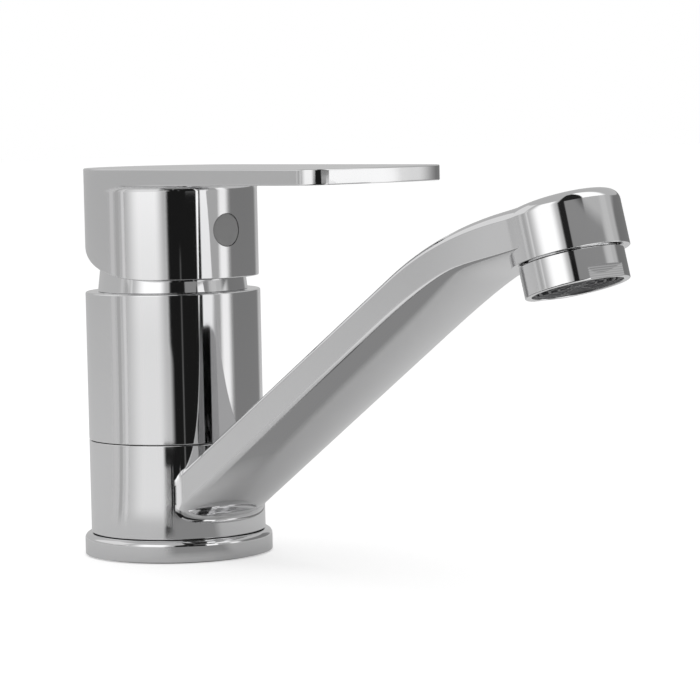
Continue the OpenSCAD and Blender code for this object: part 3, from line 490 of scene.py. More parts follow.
class Arm:
    """The lines that the spout's arm follows, in the XZ plane."""

    def __init__(self, end_slope, head_slope):
        self.end_slope = end_slope
        self.head_x = HEAD_X - HEAD_TOP * math.sin(HEAD_TILT)
        head_z = HEAD_Z + HEAD_TOP * math.cos(HEAD_TILT)
        self.end_x = self.head_x - ARM_END_LOCAL
        self.end_z = head_z - ARM_END_LOCAL * math.tan(head_slope) - ARM_SINK
        rise, fall = math.tan(ARM_RISE), math.tan(end_slope)
        bend_x = (self.end_z - self.end_x * fall - ARM_AXIS_Z) / (rise - fall)
        length = ARM_BEND_R * math.tan((ARM_RISE - end_slope) / 2)
        self.x0 = bend_x - length * math.cos(ARM_RISE)
        self.x1 = bend_x + length * math.cos(end_slope)
        self.cx = self.x0 + ARM_BEND_R * math.sin(ARM_RISE)
        self.cz = ARM_AXIS_Z + self.x0 * rise - ARM_BEND_R * math.cos(ARM_RISE)
        self.floor_m = math.tan(HEAD_TILT)
        floor_x = HEAD_X - BELLY_IN_HEAD * math.sin(HEAD_TILT)
        self.floor_c = HEAD_Z + BELLY_IN_HEAD * math.cos(HEAD_TILT) - floor_x * self.floor_m

    def top(self, x):
        straight = ARM_AXIS_Z + x * math.tan(ARM_RISE)
        bend = self.cz + np.sqrt(np.maximum(ARM_BEND_R**2 - (x - self.cx) ** 2, 0))
        last = self.end_z + (x - self.end_x) * math.tan(self.end_slope)
        return np.where(x < self.x0, straight, np.where(x < self.x1, bend, last))

    def lean(self, x):
        start = self.x0 - LEAN_LEAD
        return ARM_RISE + (HEAD_TILT - ARM_RISE) * ease((x - start) / (self.head_x - start))

    def height(self, x):
        def drop(m, c):
            return (self.top(x) - c - m * x) / (np.cos(self.lean(x)) + m * np.sin(self.lean(x)))

        belly, level = drop(*BELLY_LINE), drop(self.floor_m, self.floor_c)
        return (belly + level + np.sqrt((belly - level) ** 2 + BELLY_EASE**2)) / 2

    def half(self, x):
        """Half the arm's width, which flares at the end to meet the round head without a kink."""
        plain = (ARM_ROOT[0] + (ARM_END_W - ARM_ROOT[0]) * (x - ROOT_X) / (self.head_x - ROOT_X)) / 2
        end = ARM_END_W / 2
        start = -math.sqrt((HEAD_R + HEAD_BLEND_R) ** 2 - (end + HEAD_BLEND_R) ** 2)
        local = (x - self.head_x) / math.cos(HEAD_TILT)
        past = np.maximum(local - start, 0)
        flare = HEAD_BLEND_R - np.sqrt(np.maximum(HEAD_BLEND_R**2 - past**2, 0))
        return plain + np.minimum(flare, HEAD_R - end - SIDE_SINK)

    def share(self, x):
        """The part of the height that is belly; the rest is the flat side."""
        start = self.x0 - BELLY_LEAD
        return BELLY_SHARE + (BELLY_SHARE_END - BELLY_SHARE) * ease((x - start) / (self.head_x - start))

    def edge(self, x):
        return ARM_EDGE_R + (HEAD_EDGE_R - ARM_EDGE_R) * ease((x - self.x0) / (self.head_x - self.x0))


EDGE_STEPS, BELLY_STEPS, FLAT_STEPS, SIDE_STEPS = 8, 64, 10, 4


def section(w, h, r, share):
    """Points and outward directions across the arm, one row for each station."""
    w, h, r, share = (np.asarray(v, float)[..., None] for v in (w, h, r, share))
    b = share * h
    one = np.ones_like(w)

    def edge(start):
        a = np.radians(start - 90 * np.arange(EDGE_STEPS + 1) / EDGE_STEPS)
        side = 1 if start == 90 else -1
        y = side * (w - r) + r * np.cos(a)
        return y, r * np.sin(a) - r, one * np.cos(a), one * np.sin(a)

    def flat(y0, v0, y1, v1, ny, nv, steps):
        t = np.arange(1, steps) / steps
        return y0 + (y1 - y0) * t, v0 + (v1 - v0) * t, one * ny + 0 * t, one * nv + 0 * t

    a = np.radians(-180 * np.arange(BELLY_STEPS + 1) / BELLY_STEPS)
    ny, nv = np.cos(a) / w, np.sin(a) / b
    size = np.hypot(ny, nv)
    belly = (w * np.cos(a), b * np.sin(a) - (h - b), ny / size, nv / size)
    parts = [
        edge(90),
        flat(w, -r, w, b - h, 1, 0, SIDE_STEPS),
        belly,
        flat(-w, b - h, -w, -r, -1, 0, SIDE_STEPS),
        edge(180),
        flat(-(w - r), 0 * w, w - r, 0 * w, 0, 1, FLAT_STEPS),
    ]
    return [np.concatenate([p[k] + 0 * one for p in parts], -1) for k in range(4)]


def placed(arm, x, y, v):
    return np.stack([x - v * np.sin(arm.lean(x)), y, arm.top(x) + v * np.cos(arm.lean(x))], -1)


def across(arm, x):
    """The arm's section at stations x, one for each point across: places and outward directions."""
    rows = section(arm.half(x), arm.height(x), arm.edge(x), arm.share(x))
    index = np.arange(len(x))
    return [row[index, index] for row in rows]


def arm_points(arm, x, swell=0.0):
    """The arm's skin at stations x, one for each point across, pushed outward by swell."""
    y, v, ny, nv = across(arm, x)
    return placed(arm, x, y + swell * ny, v + swell * nv)


def arm_directions(arm, x):
    """Exact outward directions of the arm's skin at stations x."""
    _, _, ny, nv = across(arm, x)
    lean = arm.lean(x)
    around = np.stack([ny * np.sin(lean), nv, -ny * np.cos(lean)], -1)
    along = arm_points(arm, x + 0.05) - arm_points(arm, x - 0.05)
    return unit(np.cross(along, around))


def root_points(arm, gap):
    """A ring around the arm's root that follows the swivel ring's wall at a distance."""
    f = ARM_FILLET_R
    swell = f if gap < 0 else 0 if gap >= f else f - math.sqrt(f * f - (f - gap) ** 2)
    y, _, ny, _ = section(ARM_ROOT[0] / 2, ARM_ROOT[1], ARM_EDGE_R, BELLY_SHARE)
    target = np.sqrt(BODY_R**2 - (y + swell * ny) ** 2) + gap
    x = target.copy()
    for _ in range(4):
        x = target + across(arm, x)[1] * np.sin(arm.lean(x))
    return x, arm_points(arm, x, swell)


def loft(rings, normals, start, end):
    """A closed skin over rings of points, with a point to close each end."""
    skin = Skin()
    loops = skin.stack(list(zip(rings, normals)), flip=True)
    count = len(rings[0])
    for loop, tip, other in ((loops[0], start, rings[1]), (loops[-1], end, rings[-2])):
        out = unit(np.array(tip) - np.mean(other, 0))
        point = skin.ring([tip])
        if loop is loops[0]:
            skin.strip(loop, point, [out] * count, [out] * count)
        else:
            skin.strip(point, loop, [out] * count, [out] * count)
    return skin


def arm_skin(arm):
    rings, normals = [], []
    _, hidden = root_points(arm, -1.0)
    turns = [math.radians(90 * k / FILLET_STEPS) for k in range(FILLET_STEPS + 1)]
    gaps = [ARM_FILLET_R * (1 - math.cos(turn)) for turn in turns]
    fillet = [root_points(arm, gap) for gap in gaps + LEAD_GAPS]
    grid = np.array([points for _, points in fillet])
    count = grid.shape[1]
    for k, ring in enumerate(grid):
        rings.append(ring)
        if k >= FILLET_STEPS:
            normals.append(arm_directions(arm, fillet[k][0]))
            continue
        along = grid[k + 1] - grid[max(k - 1, 0)]
        following = np.roll(ring, -1, 0) - ring
        step = np.linalg.norm(following, axis=1)
        forward = following / step[:, None]
        backward = np.roll(forward, 1, 0)
        back_step = np.roll(step, 1)
        around = (forward * back_step[:, None] + backward * step[:, None]) / (step + back_step)[:, None]
        normals.append(unit(np.cross(along, around)))
    rings.insert(0, hidden)
    normals.insert(0, normals[0])
    stations = np.concatenate(
        [
            np.linspace(ROOT_X + 1, arm.x0 - LEAN_LEAD, 14),
            np.linspace(arm.x0 - LEAN_LEAD + 0.6, arm.x1, 40),
            np.linspace(arm.x1 + 0.3, arm.end_x, 12),
        ]
    )
    for x in stations:
        spread = np.full(count, x)
        rings.append(arm_points(arm, spread))
        normals.append(arm_directions(arm, spread))
    first = ((RING_BORE_R + BODY_R) / 2, 0, CHANNEL_Z)
    return loft(rings, normals, first, rings[-1].mean(0))


def bore_skin(arm):
    """The waterway inside the arm, one wall in from its skin."""
    rings = []
    for x in np.linspace(BODY_R - 1, arm.x1, 24):
        half, height = arm.half(x) - SPOUT_WALL, arm.height(x) - 2 * SPOUT_WALL
        y, v, _, _ = section(half, height, BORE_EDGE_R, BELLY_SHARE)
        rings.append(placed(arm, np.full(y.shape, x), y, v - SPOUT_WALL)[::3])
    normals = []
    for k, ring in enumerate(rings):
        along = rings[min(k + 1, len(rings) - 1)] - rings[max(k - 1, 0)]
        around = np.roll(ring, -1, 0) - np.roll(ring, 1, 0)
        normals.append(unit(np.cross(along, around)))
    return loft(rings, normals, rings[0].mean(0), rings[-1].mean(0))


def arc_block(r0, r1, z0, z1, middle, half, count=64):
    """A block bent about Z: the slot that the stop pin runs in."""
    angles = np.radians(np.linspace(middle - half, middle + half, count + 1))
    skin = Skin()
    corners = [(r0, z0), (r1, z0), (r1, z1), (r0, z1)]
    rings = [skin.ring([(r * math.cos(a), r * math.sin(a), z) for r, z in corners]) for a in angles]
    for i in range(count):
        for k, n in enumerate([(0, -1), (1, 0), (0, 1), (-1, 0)]):
            j = (k + 1) % 4
            here, there = [(n[0] * math.cos(a), n[0] * math.sin(a), n[1]) for a in angles[i : i + 2]]
            corners = (rings[i][k], rings[i][j], rings[i + 1][j], rings[i + 1][k])
            skin.face(corners, (here, here, there, there))
    for ring, a, side in ((rings[0], angles[0], -1), (rings[-1], angles[-1], 1)):
        n = (-side * math.sin(a), side * math.cos(a), 0)
        skin.face(ring if side < 0 else ring[::-1], [n] * 4)
    return skin


def add_node(tree, kind, inputs=None, **settings):
    """A new node, whose inputs are set or linked by name or number."""
    node = tree.nodes.new(kind)
    for name, value in settings.items():
        setattr(node, name, value)
    for key, value in (inputs or {}).items():
        if isinstance(value, bpy.types.NodeSocket):
            tree.links.new(value, node.inputs[key])
        else:
            node.inputs[key].default_value = value
    return node


def add_inputs(tree, rows):
    """Named inputs on a node group: name, type after NodeSocket and value."""
    for name, kind, value in rows:
        socket = tree.interface.new_socket(name=name, in_out="INPUT", socket_type="NodeSocket" + kind)
        if value is not None:
            socket.default_value = value


def math_node(tree, operation, *values):
    return add_node(tree, "ShaderNodeMath", dict(enumerate(values)), operation=operation).outputs[0]


def handling_group():
    """Faint wipe marks and specks that vary the gloss of every finish."""
    if "Handling marks" in bpy.data.node_groups:
        return bpy.data.node_groups["Handling marks"]
    tree = bpy.data.node_groups.new("Handling marks", "ShaderNodeTree")
    add_inputs(tree, [("Vector", "Vector", (0, 0, 0)), ("Smudge Scale", "Float", 60.0)])
    add_inputs(tree, [("Base Roughness", "Float", 0.1), ("Smudge", "Float", 0.05), ("Speck", "Float", 0.02)])
    for name in ("Roughness", "Height", "Mask"):
        tree.interface.new_socket(name=name, in_out="OUTPUT", socket_type="NodeSocketFloat")
    given = tree.nodes.new("NodeGroupInput").outputs
    wipes = {"Vector": given["Vector"], "Scale": given["Smudge Scale"], "Detail": 4, "Roughness": 0.6}
    smudge = add_node(tree, "ShaderNodeTexNoise", wipes).outputs[0]
    dots = {"Vector": given["Vector"], "Scale": 2400, "Detail": 1}
    speck = add_node(tree, "ShaderNodeTexNoise", dots).outputs[0]
    soft = math_node(tree, "SMOOTH_MAX", math_node(tree, "SUBTRACT", smudge, 0.45), 0.0, 0.1)
    wiped = math_node(tree, "MULTIPLY", soft, given["Smudge"])
    dotted = math_node(tree, "MULTIPLY", speck, given["Speck"])
    rough = math_node(tree, "ADD", given["Base Roughness"], math_node(tree, "ADD", wiped, dotted))
    add_node(tree, "NodeGroupOutput", {"Roughness": rough, "Height": smudge, "Mask": soft})
    return tree


def material(name, shader="ShaderNodeBsdfPrincipled"):
    """A new material with one shader on its surface."""
    made = bpy.data.materials.new(name)
    made.use_nodes = True
    tree = made.node_tree
    tree.nodes.clear()
    surface = tree.nodes.new(shader)
    add_node(tree, "ShaderNodeOutputMaterial", {"Surface": surface.outputs[0]})
    return made, tree, surface


def finish_material(name, colour, darker, metallic, roughness, smudge, speck, scale, wave, wave_scale):
    """A finish whose colour, gloss and surface all carry slight marks."""
    made, tree, shader = material(name)
    link = tree.links.new
    place = tree.nodes.new("ShaderNodeTexCoord").outputs["Object"]
    worn = {"Vector": place, "Smudge Scale": scale, "Base Roughness": roughness}
    worn.update({"Smudge": smudge, "Speck": speck})
    marks = add_node(tree, "ShaderNodeGroup", worn, node_tree=handling_group())
    colours = {0: marks.outputs["Mask"], 6: (*colour, 1), 7: (*darker, 1)}
    tone = add_node(tree, "ShaderNodeMix", colours, data_type="RGBA")
    link(tone.outputs[2], shader.inputs["Base Color"])
    link(marks.outputs["Roughness"], shader.inputs["Roughness"])
    shader.inputs["Metallic"].default_value = metallic
    if wave:
        ripple = add_node(tree, "ShaderNodeTexNoise", {"Vector": place, "Scale": wave_scale, "Detail": 2})
        relief = {"Strength": 1, "Distance": wave, "Height": ripple.outputs[0]}
        link(add_node(tree, "ShaderNodeBump", relief).outputs[0], shader.inputs["Normal"])
    return made


# Colour, worn colour, metallic, roughness, smudges, specks, smudge scale, wave height in metres, wave scale.
FINISHES = {
    "rubber": ((0.035, 0.035, 0.037), (0.06, 0.06, 0.06), 0, 0.6, 0.2, 0.1, 90, 2e-5, 900),
    "steel": ((0.56, 0.56, 0.55), (0.46, 0.46, 0.45), 1, 0.28, 0.2, 0.1, 120, 1e-5, 1500),
    "brass": ((0.72, 0.52, 0.26), (0.6, 0.42, 0.2), 1, 0.26, 0.2, 0.1, 120, 1e-5, 1200),
    "glide_plastic": ((0.82, 0.81, 0.78), (0.74, 0.73, 0.7), 0, 0.4, 0.1, 0.05, 80, 1e-5, 700),
    "light_plastic": ((0.7, 0.7, 0.69), (0.62, 0.62, 0.61), 0, 0.42, 0.1, 0.05, 80, 1e-5, 700),
    "dark_plastic": ((0.09, 0.09, 0.095), (0.13, 0.13, 0.13), 0, 0.38, 0.15, 0.08, 80, 2e-5, 700),
    "ceramic": ((0.86, 0.85, 0.82), (0.8, 0.79, 0.76), 0, 0.16, 0.05, 0.02, 60, 0, 1),
}


def finish_of(slot):
    """The material of a slot, made once."""
    name = "tap_" + slot
    if name in bpy.data.materials:
        return bpy.data.materials[name]
    if slot == "chrome":
        look = bpy.context.scene.tap_finish
        bright = tuple(look.chrome_colour)
        dull = tuple(0.94 * c for c in bright)
        marks = (look.chrome_roughness, look.smudge, 0.008, 38, 1.2e-6, 240)
        return finish_material(name, bright, dull, 1, *marks)
    if slot == "plug_plastic":
        grey = tuple(bpy.context.scene.tap_finish.plug_colour)
        return finish_material(name, grey, tuple(0.9 * c for c in grey), 0, 0.42, 0.12, 0.1, 300, 1e-5, 1800)
    return finish_material(name, *FINISHES[slot])


class TapShape(bpy.types.PropertyGroup):
    segments: IntProperty(name="Segments", description="Facets around", default=256, min=64, max=512)
    edge_round: FloatProperty(
        name="Edge", description="Radius of cast edges", default=0.5 * MM, min=LEAST_EDGE, unit="LENGTH"
    )
    head_slope: FloatProperty(
        name="Head Slope", description="Slope of the head's top", default=math.radians(18.2), subtype="ANGLE"
    )
    arm_slope: FloatProperty(
        name="Arm Slope", description="Slope of the arm's end", default=math.radians(13), subtype="ANGLE"
    )
    lever_edge: FloatProperty(
        name="Lever Edge", description="Radius of its edges", default=0.35 * MM, min=LEAST_EDGE, unit="LENGTH"
    )
    flat_ridges: IntProperty(name="Ridges", description="Ridges on each flat", default=6, min=2, max=12)
    grid_rings: IntProperty(name="Grid Rings", description="Round bars in the grid", default=4, min=2, max=6)
    grid_spokes: IntProperty(name="Grid Spokes", description="Straight bars in it", default=8, min=3, max=16)


class TapFinish(bpy.types.PropertyGroup):
    chrome_colour: FloatVectorProperty(
        name="Chrome", description="Plating's colour", default=(0.78, 0.78, 0.785), size=3, subtype="COLOR"
    )
    chrome_roughness: FloatProperty(name="Roughness", description="Plating's", default=0.035, min=0, max=1)
    smudge: FloatProperty(name="Smudges", description="Roughness of wiped places", default=0.12, min=0, max=1)
    plug_colour: FloatVectorProperty(
        name="Plug", description="Index plug's colour", default=(0.36, 0.36, 0.36), size=3, subtype="COLOR"
    )


class TapStudio(bpy.types.PropertyGroup):
    floor_colour: FloatVectorProperty(
        name="Floor", description="Colour of the floor", default=(0.7, 0.7, 0.7), size=3, subtype="COLOR"
    )
    surround: FloatProperty(name="Surround", description="The walls' glow", default=0.54, min=0, max=2)
    daylight: FloatProperty(name="Daylight", description="Even light all around", default=0.72, min=0, max=2)
    floor_lift: FloatProperty(name="Floor Lift", description="The floor's glow", default=0.52, min=0, max=1)


SCREW_TURNS = [turned(360 * k / SCREWS, "Z") for k in range(SCREWS)]


class TAP_OT_flange(bpy.types.Operator):
    """Builds the base flange with its rounded edge and the holes for hoses, stud and screws"""

    bl_idname = "tap.flange"
    bl_label = "Base Flange"

    def execute(self, context):
        shape = context.scene.tap_shape
        low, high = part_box("base_ring")
        lip, top, foot = high.x / MM, high.z / MM, low.z / MM
        body = lathe(
            [
                (0, FLANGE_FLOOR_Z), (FLANGE_RECESS_R, FLANGE_FLOOR_Z), (FLANGE_RECESS_R, GASKET_Z),
                (GASKET_R, GASKET_Z), (GASKET_R, foot), (lip, foot, 0.15), (lip, top, 1.6),
                (GLIDE_SEAT_R, top), (GLIDE_SEAT_R, GLIDE_FLOOR_Z), (STEM_SOCKET_R, GLIDE_FLOOR_Z),
                (STEM_SOCKET_R, STEM_FOOT_Z), (0, STEM_FOOT_Z),
            ],
            shape.segments,
            10,
        )
        x, y = INLET
        through = 6
        holes = [cylinder(INLET_HOLE_R, 0, through).moved(at(x, side * y)) for side in (-1, 1)]
        holes.append(cylinder(STUD_HOLE_R, 0, through).moved(at(STUD_X)))
        holes.append(cylinder(STOP_PIN_R, 2.6, 8, 48).moved(at(STOP_PIN_X)))
        neck_z = FLANGE_FLOOR_Z + SCREW_HEAD_R - SCREW_HOLE_R
        sink = [
            (0, 1), (SCREW_HEAD_R, 1), (SCREW_HEAD_R, FLANGE_FLOOR_Z), (SCREW_HOLE_R, neck_z),
            (SCREW_HOLE_R, through), (0, through),
        ]
        holes += [lathe(sink, 48).moved(turn @ at(SCREW_R)) for turn in SCREW_TURNS]
        made("flange", body, [], [holes[0].joined(*holes[1:])], "body", "chrome", "base_ring")
        return {"FINISHED"}


class TAP_OT_barrel(bpy.types.Operator):
    """Builds the barrel with its stem, seal grooves, cartridge chamber and waterways"""

    bl_idname = "tap.barrel"
    bl_label = "Barrel"

    def execute(self, context):
        shape = context.scene.tap_shape
        edge = shape.edge_round / MM
        stem = [(0, STEM_FOOT_Z), (STEM_R, STEM_FOOT_Z, 0.3)]
        for r, low, high in STEM_GROOVES:
            stem += [(STEM_R, low), (r, low), (r, high), (STEM_R, high)]
        barrel = [
            (STEM_R, GLIDE_TOP_Z), (GLIDE_SEAT_R, GLIDE_TOP_Z), (GLIDE_SEAT_R, BARREL_Z0),
            (BODY_R, BARREL_Z0, edge / 2), (BODY_R, BODY_H, edge), (NUT_BORE_R, BODY_H, 0.2),
            (NUT_BORE_R, NUT_FLOOR_Z), (CHAMBER_R, NUT_FLOOR_Z), (CHAMBER_R, CHAMBER_Z), (0, CHAMBER_Z),
        ]
        body = lathe(stem + barrel, shape.segments, 8)
        x, y = INLET
        foot, top = STEM_FOOT_Z - 1, CHAMBER_Z + 1
        inlet = [
            (0, foot), (INLET_THREAD_R, foot), (INLET_THREAD_R, INLET_DEPTH_Z), (WATERWAY_R, INLET_DEPTH_Z),
            (WATERWAY_R, top), (0, top),
        ]
        cuts = [lathe(inlet, 64).moved(at(x, side * y)) for side in (-1, 1)]
        cuts.append(cylinder(STUD_THREAD_R, foot, STUD_DEPTH_Z, 64).moved(at(STUD_X)))
        cuts.append(cylinder(PORT_R, CHANNEL_Z, top, 64).moved(at(PORT_X)))
        thread = cylinder(SCREW_THREAD_R, foot, SCREW_DEPTH_Z, 32)
        cuts += [thread.moved(turn @ at(SCREW_R)) for turn in SCREW_TURNS]
        bores = cuts[0].joined(*cuts[1:])
        radial = cylinder(CHANNEL_R, 0, STEM_R, 64).moved(at(PORT_X, 0, CHANNEL_Z) @ turned(-90, "Y"))
        made("barrel", body, [], [bores, radial], "body", "chrome", "body_casting")
        return {"FINISHED"}


class TAP_OT_collar(bpy.types.Operator):
    """Builds the domed collar over the cartridge"""

    bl_idname = "tap.collar"
    bl_label = "Collar"

    def execute(self, context):
        shape = context.scene.tap_shape
        foot_r, foot_z = DOME_FOOT[0], DOME_FOOT[1] - PIVOT_Z
        dome_r = math.hypot(foot_r, foot_z)
        inner_r = dome_r - COLLAR_WALL
        start = math.degrees(math.atan2(foot_z, foot_r))
        shares = (MOUTH_R / dome_r, MOUTH_R / inner_r, DOME_INNER_R / inner_r)
        mouth_top, inner_mouth, inner_low = (math.degrees(math.acos(share)) for share in shares)
        body = lathe(
            [
                (DOME_INNER_R, COLLAR_FOOT_Z), (COLLAR_FOOT_R, COLLAR_FOOT_Z, 0.15),
                arc((0, PIVOT_Z), dome_r, start, mouth_top, 20),
                arc((0, PIVOT_Z), inner_r, inner_mouth, inner_low, 16, hollow=True),
            ],
            shape.segments,
        )
        made("collar", body, [], [], "body", "chrome", "cartridge_cover")
        return {"FINISHED"}


class TAP_OT_spout(bpy.types.Operator):
    """Builds the swivel ring, the arm with its fillet and the round head in one casting"""

    bl_idname = "tap.spout"
    bl_label = "Spout"

    def execute(self, context):
        shape = context.scene.tap_shape
        edge = shape.edge_round / MM / 2
        arm = Arm(shape.arm_slope, shape.head_slope)
        profile = [(0, RING_Z0), (BODY_R, RING_Z0, edge), (BODY_R, RING_Z1, edge), (0, RING_Z1)]
        ring = lathe(profile, shape.segments)
        sleeve = arm_skin(arm)
        profile = [(0, 0), (HEAD_R, 0, 0.15), (HEAD_R, HEAD_TOP, HEAD_EDGE_R), (0, HEAD_TOP)]
        head = slanted(lathe(profile, shape.segments, 16), shape.head_slope - HEAD_TILT).moved(outlet_frame())
        shaft = cylinder(RING_BORE_R, 0, BODY_H, shape.segments)
        port = cylinder(CHANNEL_R, 0, ROOT_X - STEM_R + 1, 64)
        port = port.moved(at(STEM_R - 1, 0, CHANNEL_Z) @ turned(90, "Y"))
        bore = bore_skin(arm)
        profile = [
            (0, -1), (12.2, -1), (12.2, 0), (SOCKET_R, 0.5), (SOCKET_R, SOCKET_TOP), (8.7, SOCKET_TOP),
            (8.7, 12), (0, 12),
        ]
        socket = lathe(profile, 128).moved(outlet_frame())
        slot = arc_block(*SLOT_R, RING_Z0 - 1, SLOT_TOP_Z, 180, SLOT_HALF_TURN)
        cuts = [shaft, port, bore, socket, slot]
        made("spout", ring, [sleeve, head], cuts, "spout", "chrome", "swivel_spout")
        return {"FINISHED"}


SLANT_START_Z = 4.0


def slanted(skin, angle):
    """Tips the head's top face about Y, fading out towards its rim."""
    points = np.array(skin.points)
    weight = ease((points[:, 2] - SLANT_START_Z) / (HEAD_TOP - SLANT_START_Z))
    points[:, 2] += points[:, 0] * math.tan(angle) * weight
    slope = np.where(weight > 0, 1, 0) * math.tan(angle)
    out = Skin()
    out.points = [tuple(p) for p in points]
    out.faces = list(skin.faces)
    for face, normals in zip(skin.faces, skin.normals):
        tilted = []
        for index, n in zip(face, normals):
            k = slope[index] * weight[index]
            tilted.append(tuple(unit((n[0] - k * n[2], n[1], n[2]))))
        out.normals.append(tilted)
    return out


class TAP_OT_sleeve(bpy.types.Operator):
    """Builds the aerator's sleeve with its two ridged flats"""

    bl_idname = "tap.sleeve"
    bl_label = "Aerator Sleeve"

    def execute(self, context):
        shape = context.scene.tap_shape
        top, bottom = SLEEVE_TOP, SLEEVE_BOTTOM
        body = lathe(
            [
                (SLEEVE_BORE_R, SLEEVE_STEP), (SLEEVE_THREAD_R, SLEEVE_STEP), (SLEEVE_THREAD_R, bottom, 0.25),
                (SLEEVE_R, bottom, 0.3), (SLEEVE_R, top, 0.12), (SLEEVE_THREAD_R, top),
                (SLEEVE_THREAD_R, THREAD_TOP, 0.2), (SLEEVE_BORE_R, THREAD_TOP),
            ],
            192,
        )
        count = shape.flat_ridges * 2
        rise = FLAT_RISE / count
        face = [(FLAT_X + (RIDGE_H if k % 2 else 0), bottom + k * rise) for k in range(count + 1)]
        plan = [(20, bottom - 1), (20, face[-1][1])] + face[::-1] + [(FLAT_X, bottom - 1)]
        turns = [Matrix.Rotation(SLEEVE_TURN + extra, 4, "Z") for extra in (math.pi, 0)]
        first, second = (wedge(plan, 14).moved(turn) for turn in turns)
        flats = first.joined(second)
        obj = solid("aerator_sleeve", body)
        carve(obj, flats)
        polished(obj, [body, flats])
        obj.data.transform(metres(outlet_frame()))
        finished(obj, "spout", "chrome", "aerator_housing")
        return {"FINISHED"}


def metres(matrix):
    """The same placement with its shift in metres."""
    out = matrix.copy()
    out.translation = matrix.translation * MM
    return out


def wedge(plan, half):
    """A flat-sided tool: an outline in XZ carried along Y to both sides."""
    n = len(plan)
    skin = Skin()
    near = skin.ring([(x, -half, z) for x, z in plan])
    far = skin.ring([(x, half, z) for x, z in plan])
    for i in range(n):
        j = (i + 1) % n
        d = unit(np.array(plan[j]) - np.array(plan[i]))
        out = (d[1], 0, -d[0])
        skin.face((near[i], far[i], far[j], near[j]), [out] * 4)
    skin.face(near, [(0, -1, 0)] * n)
    skin.face(far[::-1], [(0, 1, 0)] * n)
    return skin


def grid_tree():
    """Rings and spokes of the outlet's grid, and its rim."""
    tree = bpy.data.node_groups.new("Outlet grid", "GeometryNodeTree")
    add_inputs(tree, [("Rings", "Int", 4), ("Spokes", "Int", 8), ("Radius", "Float", 0.0116)])
    add_inputs(tree, [("Rim", "Float", 0.0009), ("Wall", "Float", 0.0005), ("Depth", "Float", 0.0024)])
    add_inputs(tree, [("Rim Depth", "Float", 0.004), ("Material", "Material", None)])
    tree.interface.new_socket(name="Geometry", in_out="OUTPUT", socket_type="NodeSocketGeometry")
    given = tree.nodes.new("NodeGroupInput").outputs
    names = ("Radius", "Rim", "Wall", "Depth", "Rim Depth")
    radius, rim_w, wall, depth, rim_depth = (given[name] for name in names)

    def calc(operation, a, b):
        return math_node(tree, operation, a, b)

    def add(kind, **inputs):
        named = {name.replace("_", " "): value for name, value in inputs.items()}
        return add_node(tree, "GeometryNode" + kind, named).outputs[0]

    def vector(**parts):
        return add_node(tree, "ShaderNodeCombineXYZ", parts).outputs[0]

    def swept(curve, width, height):
        bar = add("CurvePrimitiveQuadrilateral", Width=width, Height=height)
        return add("CurveToMesh", Curve=curve, Profile_Curve=bar, Fill_Caps=True)

    def lifted(mesh, height):
        return add("Transform", Geometry=mesh, Translation=vector(Z=height))

    def spread(count, **inputs):
        return add("InstanceOnPoints", Points=add("Points", Count=count), **inputs)

    def number(offset):
        return calc("ADD", add("InputIndex"), offset)

    pitch = calc("DIVIDE", calc("SUBTRACT", radius, rim_w), calc("ADD", given["Rings"], 0.5))
    half_depth = calc("MULTIPLY", depth, 0.5)
    rim_line = calc("SUBTRACT", radius, calc("MULTIPLY", rim_w, 0.5))

    # Round bars: one circle for each ring, grown by its number.
    circle = add("CurvePrimitiveCircle", Resolution=96, Radius=1)
    circles = spread(given["Rings"], Instance=circle, Scale=calc("MULTIPLY", number(1), pitch))
    rings = lifted(swept(add("RealizeInstances", Geometry=circles), wall, depth), half_depth)

    # The rim, and the disc in the middle.
    edge = add("CurvePrimitiveCircle", Resolution=128, Radius=rim_line)
    rim = lifted(swept(edge, rim_w, rim_depth), calc("MULTIPLY", rim_depth, 0.5))
    disc = add("MeshCylinder", Vertices=48, Radius=calc("MULTIPLY", pitch, 0.5), Depth=depth)
    middle = lifted(disc, half_depth)

    # Spokes from the disc to the rim.
    start = calc("MULTIPLY", pitch, 0.25)
    size = vector(X=calc("SUBTRACT", rim_line, start), Y=wall, Z=depth)
    shift = vector(X=calc("MULTIPLY", calc("ADD", rim_line, start), 0.5), Z=half_depth)
    spoke = add("Transform", Geometry=add("MeshCube", Size=size), Translation=shift)
    step = calc("DIVIDE", 2 * math.pi, given["Spokes"])
    fan = spread(given["Spokes"], Instance=spoke, Rotation=vector(Z=calc("MULTIPLY", number(0.5), step)))

    join = tree.nodes.new("GeometryNodeJoinGeometry")
    for part in (fan, middle, rim, rings):
        tree.links.new(part, join.inputs[0])
    whole = add("RealizeInstances", Geometry=join.outputs[0])
    dressed = add("SetMaterial", Geometry=whole, Material=given["Material"])
    add_node(tree, "NodeGroupOutput", {0: dressed})
    return tree


class TAP_OT_grid(bpy.types.Operator):
    """Builds the round grid inside the outlet"""

    bl_idname = "tap.grid"
    bl_label = "Outlet Grid"

    def execute(self, context):
        shape = context.scene.tap_shape
        tree = grid_tree()
        obj = new_object("outlet_grid", bpy.data.meshes.new("outlet_grid"))
        modifier = obj.modifiers.new("grid", "NODES")
        modifier.node_group = tree
        values = {"Rings": shape.grid_rings, "Spokes": shape.grid_spokes}
        values["Material"] = finish_of("dark_plastic")
        for item in tree.interface.items_tree:
            if item.in_out == "INPUT" and item.name in values:
                modifier[item.identifier] = values[item.name]
        mesh = plain_mesh(obj)
        if len(mesh.polygons) < 500:
            raise RuntimeError("the outlet's grid came out empty")
        mesh.transform(metres(outlet_frame() @ at(0, 0, GRID_Z)))
        finished(obj, "spout", "dark_plastic", "aerator_grid")
        return {"FINISHED"}


